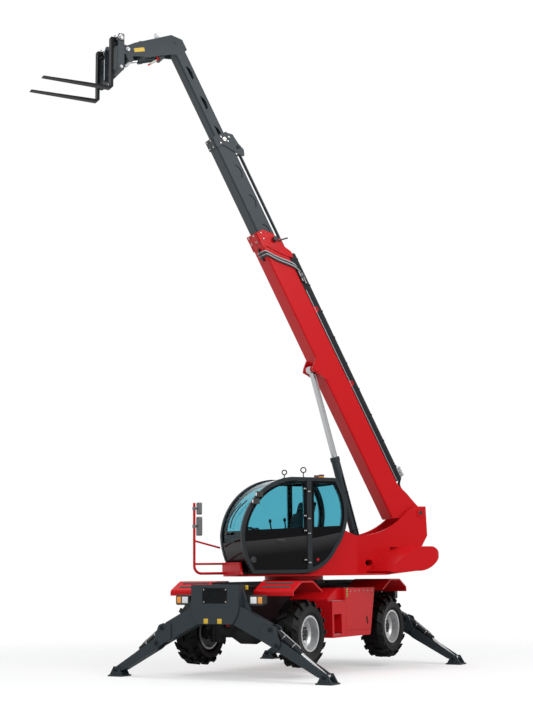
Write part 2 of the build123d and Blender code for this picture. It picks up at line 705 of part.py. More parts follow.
def turret_frame():
    """Floor plate on the slew ring, two cheeks with the boom ears and the lift-cylinder bosses."""
    cheek = slab_y(cheek_face(), CHEEK_INNER, CHEEK_INNER + CHEEK_PLATE)
    cheek -= bar_y(BOOM_PIVOT_X, BOOM_PIVOT_Z, PIVOT_PIN_RADIUS + PIN_GAP, 0, 2 * CHEEK_INNER)
    slot = SlotOverall(150, 105)
    cheek -= slab_y(Pos(LIFT_BASE_X + 20, LIFT_BASE_Z) * slot, 0, 2 * CHEEK_INNER)
    boss_low = LIFT_BARREL_RADIUS + 15
    boss = bar_y(LIFT_BASE_X + 20, LIFT_BASE_Z, 95, boss_low, CHEEK_INNER + 1)
    boss -= slab_y(Pos(LIFT_BASE_X + 20, LIFT_BASE_Z) * slot, 0, 2 * CHEEK_INNER)
    outside = CHEEK_INNER + CHEEK_PLATE
    ear_ring = bar_y(BOOM_PIVOT_X, BOOM_PIVOT_Z, 80, outside - 1, outside + 14)
    ear_ring -= bar_y(BOOM_PIVOT_X, BOOM_PIVOT_Z, PIVOT_PIN_RADIUS + PIN_GAP, 0, 2 * CHEEK_INNER)
    side = cheek + boss + ear_ring
    floor_face = outline(
        (COUNTERWEIGHT_FRONT, -outside),
        (COUNTERWEIGHT_FRONT, outside),
        (WING_FRONT + 10, outside),
        (WING_FRONT + 10, 1000),
        (-700, CAB_LEFT - 60),
        (1250, CAB_LEFT - 60),
        (1500, CAB_LEFT - 300),
        (1500, CAB_RIGHT),
        (HOOD_FRONT + 30, -HOOD_OUTER + 300),
        (HOOD_FRONT - 300, -HOOD_OUTER - 20),
        (-700, -HOOD_OUTER - 20),
        (WING_FRONT + 10, -1000),
        (WING_FRONT + 10, -outside),
    )
    floor = slab_z(floor_face, TURRET_FLOOR, TURRET_FLOOR + FLOOR_PLATE)
    ring = bar_z(0, 0, SLEW_RADIUS - 25, SLEW_TOWER_TOP + SLEW_GAP, TURRET_FLOOR + 1)
    return floor + ring + side + mirror_y(side)


def counterweight():
    """Cast tail block: round in plan about the slew axis, swept under, with a wing along each cheek."""
    low = TURRET_FLOOR + 10
    corner = tail_corner()
    wide = TAIL_HALF_WIDTH
    plan = make_face(
        Line((WING_FRONT, -wide), (WING_FRONT, wide))
        + Line((WING_FRONT, wide), (corner, wide))
        + ThreePointArc((corner, wide), (-TAIL_RADIUS, 0), (corner, -wide))
        + Line((corner, -wide), (WING_FRONT, -wide))
    )
    body = slab_z(plan, low - 1, COUNTERWEIGHT_TOP + 1)
    rounded = [e for e in body.edges().filter_by(Axis.Z) if e.center().X < COUNTERWEIGHT_FRONT]
    body = fillet(rounded, 130)
    top_front = COUNTERWEIGHT_FRONT - 190
    back = -TAIL_RADIUS - 1
    side_line = (
        ThreePointArc((WING_FRONT, low + 55), (-1620, 1955), (top_front, COUNTERWEIGHT_TOP))
        + Line((top_front, COUNTERWEIGHT_TOP), (back, COUNTERWEIGHT_TOP))
        + Line((back, COUNTERWEIGHT_TOP), (back, low))
        + Line((back, low), (WING_FRONT - 160, low))
        + Line((WING_FRONT - 160, low), (WING_FRONT, low + 55))
    )
    body = body & slab_y(make_face(side_line), -wide - 1, wide + 1) & tail_round(low)
    inside = CHEEK_INNER + CHEEK_PLATE
    return body - block((COUNTERWEIGHT_FRONT, -inside, low - 2), (0, inside, COUNTERWEIGHT_TOP + 2))


def tail_round(low):
    """The tail's turned form about the slew axis: rounded over at the top and swept under below."""
    reach = TAIL_RADIUS
    top = COUNTERWEIGHT_TOP
    tip = low + 300
    profile = make_face(
        Line((0, low - 1), (reach - 900, low - 1))
        + Line((reach - 900, low - 1), (reach - 420, low + 55))
        + ThreePointArc((reach - 420, low + 55), (reach - 130, low + 140), (reach, tip))
        + ThreePointArc((reach, tip), (reach - 40, top - 50), (reach - 160, top + 1))
        + Line((reach - 160, top + 1), (0, top + 1))
        + Line((0, top + 1), (0, low - 1))
    )
    return revolve(Plane.XZ * profile, axis=Axis.Z)


def tail_corner():
    """Where the round tail meets the counterweight's straight sides."""
    return -(TAIL_RADIUS**2 - TAIL_HALF_WIDTH**2) ** 0.5


def cab_face():
    """Side view of the cab: bowed front, level roof, bowed rear running under to the floor."""
    line = (
        Line((400, CAB_FLOOR), (1350, CAB_FLOOR))
        + ThreePointArc((1350, CAB_FLOOR), (1500, 1980), (CAB_FRONT, 2330))
        + ThreePointArc((CAB_FRONT, 2330), (1290, 2960), (620, CAB_ROOF))
        + Line((620, CAB_ROOF), (-200, CAB_ROOF))
        + ThreePointArc((-200, CAB_ROOF), (-270, CAB_ROOF - 30), (-310, CAB_ROOF - 100))
        + ThreePointArc((-310, CAB_ROOF - 100), (CAB_REAR, 2660), (-230, 2090))
        + ThreePointArc((-230, 2090), (20, 1810), (400, CAB_FLOOR))
    )
    return make_face(line)


def cab_inner_face():
    """The clear opening inside a hoop."""
    return offset(cab_face(), amount=-HOOP_TUBE)


def cab_frame():
    """Two side hoops, the door post, cross tubes and the floor pan."""
    ring = cab_face() - cab_inner_face()
    left = slab_y(ring, CAB_LEFT - HOOP_TUBE, CAB_LEFT)
    right = slab_y(ring, CAB_RIGHT, CAB_RIGHT + HOOP_TUBE)
    post_height = CAB_ROOF - CAB_FLOOR
    post_middle = Pos(POST_X + POST_WIDTH / 2, CAB_FLOOR + post_height / 2)
    post_face = post_middle * Rectangle(POST_WIDTH, post_height)
    post = slab_y(post_face & cab_face(), CAB_LEFT - HOOP_TUBE, CAB_LEFT)
    near = CAB_RIGHT + HOOP_TUBE - 1
    far = CAB_LEFT - HOOP_TUBE + 1
    under_roof = CAB_ROOF - CAB_WALL - 12
    header = block((500, near, under_roof - 60), (555, far, under_roof))
    rear_tie = block((-245, near, under_roof - 68), (-190, far, under_roof - 13))
    pan = block((420, near, CAB_FLOOR), (1340, far, CAB_FLOOR + PAN))
    feet = block((440, CAB_RIGHT + 60, TURRET_FLOOR + FLOOR_PLATE), (1300, CAB_LEFT - 120, CAB_FLOOR + 1))
    frame = left + right + post + header + rear_tie + pan + feet
    for level in HINGE_LEVELS:
        frame += hinge_half(level, -1)
    return frame


def hinge_axis():
    """Door hinge line in plan, just outside the gap between post and door."""
    return POST_X + POST_WIDTH + DOOR_GAP / 2, CAB_LEFT + HINGE_RADIUS


def hinge_half(level, side):
    """Knuckle and strap of one door hinge: the post's half below the level, the door's above it."""
    x, y = hinge_axis()
    low = level + PIN_GAP if side > 0 else level - HINGE_HEIGHT
    high = level + HINGE_HEIGHT if side > 0 else level
    face_y = CAB_LEFT - HOOP_TUBE / 2 + CAB_WALL / 2 if side > 0 else CAB_LEFT
    knuckle_bar = bar_z(x, y, HINGE_RADIUS, low, high)
    strap_face = Pos(x + side * 35, (face_y + y) / 2 - 0.5) * Rectangle(70, y - face_y + 1)
    return knuckle_bar + slab_z(strap_face, low, high)


def cab_belt(thickness, inset):
    """A skin of the cab's outline between the hoops, before it is cut into panels."""
    outer = offset(cab_face(), amount=-inset)
    inner = offset(cab_face(), amount=-inset - thickness)
    return slab_y(outer - inner, CAB_RIGHT + HOOP_TUBE + 1, CAB_LEFT - HOOP_TUBE - 1)


def belt_cut(belt, corners):
    """The part of a belt inside a side-view polygon."""
    return belt & slab_y(outline(*corners), CAB_RIGHT, CAB_LEFT)


def cab_shell():
    """Opaque belt panels: roof, lower front and lower rear."""
    belt = cab_belt(CAB_WALL, 10)
    roof = belt_cut(belt, [(560, 2900), (560, 3400), (-205, 3400), (-205, 2900)])
    front = belt_cut(belt, [(1300, 1745), (1700, 1745), (1700, 2200), (1200, 2200)])
    rear = belt_cut(belt, [(330, 1745), (100, 2420), (-700, 2420), (-700, 1745)])
    return Compound(children=[roof, front, rear])


def side_window(x_low, x_high):
    """Side-view window opening between two uprights, above the sill."""
    clear = offset(cab_inner_face(), amount=-45)
    slope = SILL_DROP / (CAB_FRONT - POST_X)
    low_sill = SILL_Z + slope * (POST_X - x_low)
    high_sill = SILL_Z + slope * (POST_X - x_high)
    strip = outline((x_low, low_sill), (x_high, high_sill), (x_high, CAB_ROOF), (x_low, CAB_ROOF))
    return clear & strip


def cab_sides():
    """Rear quarter panel on the left and the whole wall on the right, windows cut."""
    opening = offset(cab_inner_face(), amount=-SIDE_GAP)
    rear_strip = outline((-800, 1600), (POST_X - SIDE_GAP, 1600), (POST_X - SIDE_GAP, 3400), (-800, 3400))
    low = CAB_LEFT - HOOP_TUBE / 2 - CAB_WALL / 2
    quarter = slab_y((opening & rear_strip) - side_window(-800, POST_X - 50), low, low + CAB_WALL)
    low = CAB_RIGHT + HOOP_TUBE / 2 - CAB_WALL / 2
    wall_face = opening - side_window(-800, POST_X - 50) - side_window(POST_X + 40, 1700)
    wall = slab_y(wall_face, low, low + CAB_WALL)
    return Compound(children=[quarter, wall])


def pane(face, y):
    """A flat side pane in a window opening."""
    return slab_y(offset(face, amount=-PIN_GAP), y - GLASS / 2, y + GLASS / 2)


def cab_glass():
    """Bent windscreen, bent rear screen, quarter pane and the right-hand panes."""
    belt = cab_belt(GLASS, 24)
    screen = belt_cut(belt, [(561, 3400), (561, 2900), (1200, 2201), (1700, 2201), (1700, 3400)])
    rear = belt_cut(belt, [(-206, 3400), (-206, 2900), (-100, 2421), (-700, 2421), (-700, 3400)])
    quarter = pane(side_window(-800, POST_X - 50), CAB_LEFT - HOOP_TUBE / 2)
    right_y = CAB_RIGHT + HOOP_TUBE / 2
    right_rear = pane(side_window(-800, POST_X - 50), right_y)
    right_front = pane(side_window(POST_X + 40, 1700), right_y)
    return Compound(children=[screen, rear, quarter, right_rear, right_front])


def door_face():
    """Outline of the door in the front opening of the left hoop."""
    opening = offset(cab_inner_face(), amount=-DOOR_GAP)
    edge = POST_X + POST_WIDTH + DOOR_GAP
    return opening & outline((edge, 1600), (1800, 1600), (1800, 3400), (edge, 3400))


def door_window():
    """Window opening of the door."""
    return side_window(POST_X + POST_WIDTH + 60, 1700)


def cab_door():
    """Door with its window cut above the sill."""
    low = CAB_LEFT - HOOP_TUBE / 2 - CAB_WALL / 2
    door = slab_y(door_face() - door_window(), low, low + CAB_WALL)
    for level in HINGE_LEVELS:
        door += hinge_half(level, 1)
    return door


def door_glass():
    """Pane of the door."""
    return pane(door_window(), CAB_LEFT - HOOP_TUBE / 2)


def cab_seat():
    """Operator's seat: pedestal, cushion, back and head rest."""
    y = (CAB_LEFT + CAB_RIGHT) / 2
    profile = outline(
        (440, CAB_FLOOR + PAN),
        (400, 2080),
        (250, 2120),
        (40, 2880),
        (130, 2900),
        (370, 2220),
        (760, 2200),
        (770, 2080),
        (640, 2060),
        (640, CAB_FLOOR + PAN),
    )
    return slab_y(profile, y - 240, y + 240)


def cab_console():
    """Steering column, wheel and dash pod in front of the seat."""
    y = (CAB_LEFT + CAB_RIGHT) / 2
    column_face = outline((1060, CAB_FLOOR + PAN), (1230, CAB_FLOOR + PAN), (1150, 2330), (1090, 2330))
    column = slab_y(column_face, y - 70, y + 70)
    wheel = Pos(1080, y, 2380) * Rot(0, -25, 0) * (Torus(170, 16) + Cylinder(40, 130) + Box(330, 30, 14))
    return column + wheel


def guard_rail():
    """Bent tube guard in front of the cab with two crossbars, brace and a blank front plate."""
    z_low = CAB_FLOOR + 10
    back_x = 1500
    path = FilletPolyline(
        (back_x, GUARD_Y, z_low),
        (GUARD_X, GUARD_Y, z_low),
        (GUARD_X, GUARD_Y, GUARD_TOP),
        radius=130,
    )
    tube = sweep(Plane(origin=path @ 0, z_dir=path % 0) * Circle(GUARD_TUBE_RADIUS), path=path)
    rail = bar_x(GUARD_Y, z_low + 160, GUARD_TUBE_RADIUS - 4, back_x, GUARD_X)
    brace_path = Line((GUARD_X, GUARD_Y, 2240), (1575, GUARD_Y, 2120))
    brace_ring = Plane(origin=brace_path @ 0, z_dir=brace_path % 0) * Circle(GUARD_TUBE_RADIUS - 6)
    brace = sweep(brace_ring, path=brace_path)
    plate_face = outline(
        (GUARD_Y - 30, z_low - 25),
        (CAB_LEFT - 130, z_low - 25),
        (CAB_LEFT - 190, z_low + 180),
        (GUARD_Y - 30, z_low + 180),
    )
    plate = slab_x(plate_face, back_x - 20, back_x + 20)
    foot = block((1440, GUARD_Y, TURRET_FLOOR + FLOOR_PLATE), (back_x - 10, CAB_LEFT - 200, z_low + 15))
    return tube + rail + brace + plate + foot


def mirrors():
    """Two mirror housings clamped to the guard's post, faces towards the operator."""
    pieces = []
    for z, height, width in MIRRORS:
        face = Pos(GUARD_Y + 10, z) * RectangleRounded(width, height, 30)
        housing = slab_x(face, GUARD_X - 118, GUARD_X - 58)
        hollow = slab_x(offset(face, amount=-8), GUARD_X - 119, GUARD_X - 110)
        arm = bar_x(GUARD_Y, z, 12, GUARD_X - 60, GUARD_X)
        clamp = bar_z(GUARD_X, GUARD_Y, GUARD_TUBE_RADIUS + 10, z - 25, z + 25)
        bore = bar_z(GUARD_X, GUARD_Y, GUARD_TUBE_RADIUS + PIN_GAP, z - 30, z + 30)
        pieces.append((housing - hollow) + ((arm + clamp) - bore))
    return Compound(children=pieces)


def service_hood():
    """Low hood on the turret's right over the hydraulic tank and valves."""
    face = outline(
        (HOOD_FRONT, TURRET_FLOOR + FLOOR_PLATE),
        (HOOD_FRONT, 1950),
        (HOOD_FRONT - 200, 2180),
        (WING_FRONT + 280, 2240),
        (WING_FRONT + 20, 2080),
        (WING_FRONT + 20, TURRET_FLOOR + FLOOR_PLATE),
        radius=[0, 60, 60, 60, 60, 0],
    )
    near = CHEEK_INNER + CHEEK_PLATE + 20
    room_face = offset(face, amount=-HOOD_WALL) + Pos(0, -HOOD_WALL) * offset(face, amount=-HOOD_WALL)
    room = slab_y(room_face, near + HOOD_WALL, HOOD_OUTER - HOOD_WALL)
    hood = slab_y(face, near, HOOD_OUTER) - room
    for row in range(5):
        vent_face = Pos(-350, 2080 - 60 * row) * SlotOverall(620, 28)
        hood -= slab_y(vent_face, HOOD_OUTER - 2 * HOOD_WALL, HOOD_OUTER + 1)
    return mirror_y(hood)


def cab_fairing():
    """Panel between the cab's round rear and the cheek."""
    gap = 15
    floor = TURRET_FLOOR + FLOOR_PLATE
    face = outline((380, floor), (-680, floor), (-680, 2310), (-460, 2400), (-300, 2400))
    face = face - offset(cab_face(), amount=gap)
    return slab_y(face, CHEEK_INNER + CHEEK_PLATE + 8, 1095)


def turret_lamps():
    """Two beacons on the cab roof and two work lamps on the left hoop."""
    pieces = []
    for x, y in ((-150, 640), (-150, 820)):
        pieces.append(bar_z(x, y, 48, CAB_ROOF - 10, CAB_ROOF + 75))
    for x, z in ((1190, 2950), (1255, 2830)):
        pieces.append(block((x, CAB_LEFT, z), (x + 110, CAB_LEFT + 70, z + 90)))
    return Compound(children=pieces)


# Boom pieces, drawn along +X from the boom pivot

def box_tube(width, depth, wall, centre, low, high):
    """A hollow rectangular boom section with rounded edges."""
    outer = Pos(0, centre) * RectangleRounded(width, depth, 30)
    inner = Pos(0, centre) * RectangleRounded(width - 2 * wall, depth - 2 * wall, 30 - wall)
    return slab_x(outer - inner, low, high)


def collar(width, depth, centre, bore_width, bore_depth, bore_centre, high):
    """Thick band at a section's end, bored to carry the next section on its pads."""
    outer = Pos(0, centre) * RectangleRounded(width + 2 * COLLAR_PROUD, depth + 2 * COLLAR_PROUD, 35)
    bore = Pos(0, bore_centre) * RectangleRounded(bore_width + 2 * SLIDE_GAP, bore_depth + 2 * SLIDE_GAP, 31)
    return slab_x(outer - bore, high - COLLAR_LENGTH, high)


def end_plates(width, end, top, bottom, shape):
    """Doubler plates on both sides of a section's end, drawn up to carry the hose guides."""
    points = [(end, bottom)]
    points += [(end + x, top + z) for x, z in shape]
    points += [(end + shape[-1][0], bottom)]
    plate = slab_y(outline(*points, radius=14), width / 2 - 2, width / 2 + COLLAR_PROUD + 6)
    return plate + mirror_y(plate)


def boom_outer():
    """Base boom section with root plates to the pivot, end collar, rail eyes and cylinder lugs."""
    half = OUTER_WIDTH / 2
    low = BOOM_CENTRE - OUTER_DEPTH / 2
    high = BOOM_CENTRE + OUTER_DEPTH / 2
    tube = box_tube(OUTER_WIDTH, OUTER_DEPTH, BOOM_WALL, BOOM_CENTRE, OUTER_ROOT, OUTER_END)
    ring = collar(OUTER_WIDTH, OUTER_DEPTH, BOOM_CENTRE, MID_WIDTH, MID_DEPTH, BOOM_CENTRE, OUTER_END)
    root_face = outline(
        (-75, -70),
        (-75, 60),
        (60, 75),
        (ROOT_PLATE_END, high - 20),
        (ROOT_PLATE_END, low + 40),
        (OUTER_ROOT, low + 40),
        radius=30,
    )
    root = slab_y(root_face, half - 30, half)
    root = root + mirror_y(root)
    cross = block((OUTER_ROOT + 350, -half + 20, high - 5), (OUTER_ROOT + 380, half - 20, high + 20))
    pin = bar_y(0, 0, PIVOT_PIN_RADIUS, -CHEEK_INNER - CHEEK_PLATE - 10, CHEEK_INNER + CHEEK_PLATE + 10)
    spacer = bar_y(0, 0, 75, half - 31, CHEEK_INNER - SIDE_GAP)
    lug_face = outline(
        (EYE_X - 300, low + 110),
        (EYE_X - 260, low + 10),
        (EYE_X - 70, EYE_Z - 30),
        (EYE_X, EYE_Z - 85),
        (EYE_X + 70, EYE_Z - 30),
        (EYE_X + 170, low + 10),
        (EYE_X + 210, low + 110),
        radius=20,
    )
    lug = slab_y(lug_face, half - LIFT_LUG, half + LUG_PROUD)
    boss = bar_y(EYE_X, EYE_Z, 58, LIFT_BARREL_RADIUS + 1, half + LUG_PROUD + 14)
    side = lug + boss + spacer
    for x in (2720, 4230):
        root_z = high - 20
        top = high + 70
        eye_face = outline((x - 75, root_z), (x - 30, top), (x + 30, top), (x + 75, root_z), radius=15)
        eye = slab_y(eye_face, half - 10, half + 2) - bar_y(x, high + 35, 16, half - 20, half + 20)
        side += eye
    plates = end_plates(OUTER_WIDTH, OUTER_END, high, low, OUTER_PLATE)
    mouth_face = outline(
        (OUTER_END + 1, high - 276),
        (OUTER_END - 152, high - 112),
        (OUTER_END - 270, high - 112),
        (OUTER_END - 270, high + 100),
        (OUTER_END + 1, high + 100),
    )
    mouth = slab_y(mouth_face, -OUTER_WIDTH, OUTER_WIDTH)
    section = (tube + ring) - mouth
    return section + root + cross + pin + plates + side + mirror_y(side)


def boom_mid():
    """Middle section with its own end collar."""
    tube = box_tube(MID_WIDTH, MID_DEPTH, BOOM_WALL, BOOM_CENTRE, MID_END - MID_LENGTH, MID_END)
    high = BOOM_CENTRE + MID_DEPTH / 2
    low = BOOM_CENTRE - MID_DEPTH / 2
    for count in range(3):
        x = MID_END - 745 - SLOT_PITCH * count
        z = BOOM_CENTRE + 45
        tube -= slab_y(curved_slit(x, z), -MID_WIDTH, MID_WIDTH)
    ring = collar(MID_WIDTH, MID_DEPTH, BOOM_CENTRE, INNER_WIDTH, INNER_DEPTH, INNER_CENTRE, MID_END)
    plates = end_plates(MID_WIDTH, MID_END, high, low, MID_PLATE)
    half = MID_WIDTH / 2
    bridge = block((MID_END - 470, -half, high + 70), (MID_END - 445, half, high + 150))
    hose_tube = bar_x(TUBE_Y, high + TUBE_RISE, TUBE_RADIUS, MID_END - 2550, MID_END - 446)
    return tube + ring + plates + bridge + hose_tube


def curved_slit(x, z):
    """Narrow hooked slit for pad adjustment, in a section's side view."""
    half = SLOT_LENGTH / 2
    return make_face(
        ThreePointArc((x + half, z - 22), (x + 25, z + 42), (x - half, z))
        + Line((x - half, z), (x - half + 4, z - 14))
        + ThreePointArc((x - half + 4, z - 14), (x + 25, z + 27), (x + half - 12, z - 30))
        + Line((x + half - 12, z - 30), (x + half, z - 22))
    )


def tapered_slot(x, z):
    """Long one-sided slot, in a section's side view."""
    half = SLOT_LENGTH / 2
    return make_face(
        Line((x - half, z - 26), (x + half, z - 26))
        + ThreePointArc((x + half, z - 26), (x - 30, z + 34), (x - half, z + 8))
        + Line((x - half, z + 8), (x - half, z - 26))
    )


def head_to_boom(x, z):
    """Turret-frame point to the boom's own frame at rest."""
    dx = x - BOOM_PIVOT_X
    dz = z - BOOM_PIVOT_Z
    c = cos(radians(BOOM_ANGLE))
    s = sin(radians(BOOM_ANGLE))
    return c * dx + s * dz, -s * dx + c * dz


def tilt_base():
    """Tilt cylinder's base pin in the turret's frame."""
    return TILT_X - TILT_BASE_REACH, TILT_Z - 10


def tilt_eye():
    """Tilt cylinder's rod eye in the turret's frame."""
    angle = radians(TILT_LEVER_ANGLE)
    return TILT_X + TILT_LEVER * cos(angle), TILT_Z + TILT_LEVER * sin(angle)


def boom_inner():
    """Inner section with the drop head that carries the carriage."""
    tube = box_tube(INNER_WIDTH, INNER_DEPTH, BOOM_WALL, INNER_CENTRE, INNER_END - INNER_LENGTH, INNER_END)
    for count in range(3):
        slot = tapered_slot(INNER_END - 390 - SLOT_PITCH * count, INNER_CENTRE + 6)
        tube -= slab_y(slot, -INNER_WIDTH, INNER_WIDTH)
    low = INNER_CENTRE - INNER_DEPTH / 2
    high = INNER_CENTRE + INNER_DEPTH / 2
    px, pz = head_to_boom(TILT_X, TILT_Z)
    head_face = outline(
        (INNER_END - 10, low),
        (INNER_END - 10, high + 40),
        (INNER_END + 200, high + 40),
        (INNER_END + 350, high - 120),
        (px + 75, pz + 190),
        (px + 75, pz - 70),
        (px - 75, pz - 70),
        (px - 260, pz + 330),
        (INNER_END + 40, low - 110),
        radius=30,
    )
    half = HEAD_WIDTH / 2
    plate = slab_y(head_face, half - HEAD_PLATE, half)
    end = INNER_END
    back_face = outline((end - 12, low), (end - 12, high), (end + 40, high + 20), (end + 40, low - 20))
    back = slab_y(back_face, -half, half)
    crown = block((end + 100, -half + 1, high + 5), (end + 200, half - 1, high + 38))
    plate -= bar_y(px, pz, TILT_PIN_RADIUS + PIN_GAP, 0, half + 1)
    bx, bz = head_to_boom(*tilt_base())
    base_pin = bar_y(bx, bz, TILT_PIN_RADIUS - 8, -half + HEAD_PLATE - 1, half - HEAD_PLATE + 1)
    spacer = block((px - 40, -half + 1, pz + 260), (px + 70, half - 1, pz + 330))
    return tube + back + crown + base_pin + spacer + plate + mirror_y(plate)


def hose_rail():
    """Hose and chain guide along the top of the base section."""
    high = BOOM_CENTRE + OUTER_DEPTH / 2
    out = OUTER_WIDTH / 2 - 15
    near = out - RAIL_WIDTH
    top = high + RAIL_HEIGHT
    wall = 12
    face = outline(
        (near, high),
        (near, top - 25),
        (near + 25, top),
        (out - 25, top),
        (out, top - 25),
        (out, high),
        (out - wall, high),
        (out - wall, top - wall - 20),
        (near + wall, top - wall - 20),
        (near + wall, high),
    )
    return slab_x(face, ROOT_PLATE_END + 10, OUTER_END - 620)


def lift_line():
    """Lift cylinder's length and slope at rest, base pin to rod eye, in the turret's frame."""
    c = cos(radians(BOOM_ANGLE))
    s = sin(radians(BOOM_ANGLE))
    dx = BOOM_PIVOT_X + c * EYE_X - s * EYE_Z - LIFT_BASE_X
    dz = BOOM_PIVOT_Z + s * EYE_X + c * EYE_Z - LIFT_BASE_Z
    return hypot(dx, dz), degrees(atan2(dz, dx))


def lift_barrel():
    """Lift cylinder's barrel between the cheeks."""
    return cylinder_barrel(
        LIFT_BARREL_LENGTH,
        LIFT_BARREL_RADIUS,
        LIFT_BARREL_RADIUS,
        LIFT_BARREL_RADIUS,
        LIFT_ROD_RADIUS,
        PIVOT_PIN_RADIUS,
    )


def lift_rod():
    """Lift cylinder's rod, its eye between the boom's lugs."""
    return cylinder_rod(LIFT_ROD_LENGTH, LIFT_ROD_RADIUS, LIFT_EYE_RADIUS, LIFT_BARREL_RADIUS)


# Carriage and forks, drawn about the tilt pivot with the forks level

def fork_carriage():
    """Fork carriage: hinge lugs, uprights, top shaft and lower rail."""
    inner = HEAD_WIDTH / 2 + SIDE_GAP
    half = CARRIAGE_WIDTH / 2
    shaft_x = FORK_REACH - 150
    shaft_z = 30
    rail_z = -500
    upright_face = outline(
        (-65, -50),
        (-65, 55),
        (shaft_x - 70, shaft_z + 75),
        (shaft_x + 40, shaft_z + 75),
        (shaft_x + 60, shaft_z),
        (shaft_x + 60, rail_z - 60),
        (shaft_x - 50, rail_z - 60),
        (60, -90),
        radius=25,
    )
    upright = slab_y(upright_face, inner, inner + CARRIAGE_PLATE)
    upright += mirror_y(upright)
    end_face = outline(
        (shaft_x - 60, shaft_z + 70),
        (shaft_x + 50, shaft_z + 70),
        (shaft_x + 60, rail_z - 60),
        (shaft_x - 60, rail_z - 60),
        radius=25,
    )
    end_plate = slab_y(end_face, half - CARRIAGE_PLATE, half)
    shaft = bar_y(shaft_x, shaft_z, FORK_SHAFT_RADIUS, -half + 1, half - 1)
    rail = block((shaft_x - 50, -half + 1, rail_z - 50), (shaft_x + 10, half - 1, rail_z + 50))
    pin = bar_y(0, 0, TILT_PIN_RADIUS, -inner - CARRIAGE_PLATE - 12, inner + CARRIAGE_PLATE + 12)
    ex = TILT_LEVER * cos(radians(TILT_LEVER_ANGLE))
    ez = TILT_LEVER * sin(radians(TILT_LEVER_ANGLE))
    lever_face = outline(
        (-60, 0),
        (60, -60),
        (ex + 60, ez - 20),
        (ex + 20, ez - 48),
        (ex - 45, ez - 20),
        radius=15,
    )
    lever = slab_y(lever_face, inner, inner + CARRIAGE_PLATE)
    return upright + lever + mirror_y(lever) + end_plate + mirror_y(end_plate) + shaft + rail + pin


def forks():
    """Two forged forks hung on the carriage's shaft."""
    shaft_x = FORK_REACH - 150
    shaft_z = 30
    front = shaft_x + FORK_SHAFT_RADIUS + 100
    low = shaft_z - FORK_DROP
    thick = FORK_THICKNESS
    face = outline(
        (front - thick, shaft_z + 40),
        (front, shaft_z + 40),
        (front, low),
        (front + FORK_LENGTH, low),
        (front + FORK_LENGTH, low - 12),
        (front - thick + 40, low - thick),
        (front - thick, low - thick + 40),
    )
    eye_face = Pos(shaft_x, shaft_z) * Circle(FORK_SHAFT_RADIUS + 28)
    hole = bar_y(shaft_x, shaft_z, FORK_SHAFT_RADIUS + PIN_GAP, -FORK_WIDTH, FORK_WIDTH)
    half = FORK_WIDTH / 2
    neck = block((shaft_x, -half, shaft_z - 30), (front - thick + 5, half, shaft_z + 40))
    fork = slab_y(face, -half, half) + slab_y(eye_face, -half, half) + neck
    fork -= hole
    return Compound(children=[Pos(0, sign * FORK_SPACING / 2, 0) * fork for sign in SIGNS.values()])


def tilt_line():
    """Tilt cylinder's length and slope at rest in the turret's frame."""
    bx, bz = tilt_base()
    ex, ez = tilt_eye()
    return hypot(ex - bx, ez - bz), degrees(atan2(ez - bz, ex - bx))


def tilt_barrel():
    """Tilt cylinder's barrel in the head."""
    return cylinder_barrel(
        TILT_BARREL_LENGTH,
        TILT_BARREL_RADIUS,
        TILT_BARREL_RADIUS,
        HEAD_WIDTH / 2 - HEAD_PLATE - SIDE_GAP,
        TILT_ROD_RADIUS,
        TILT_PIN_RADIUS - 8,
    )


def tilt_rod():
    """Tilt cylinder's rod with its eye between the carriage levers."""
    return cylinder_rod(TILT_ROD_LENGTH, TILT_ROD_RADIUS, 40, HEAD_WIDTH / 2 - SIDE_GAP)


def turret_place():
    """The turret's frame at rest."""
    return Rot(0, 0, TURRET_HEADING)


def boom_place():
    """The boom's frame at rest."""
    return turret_place() * Pos(BOOM_PIVOT_X, 0, BOOM_PIVOT_Z) * Rot(0, -BOOM_ANGLE, 0)


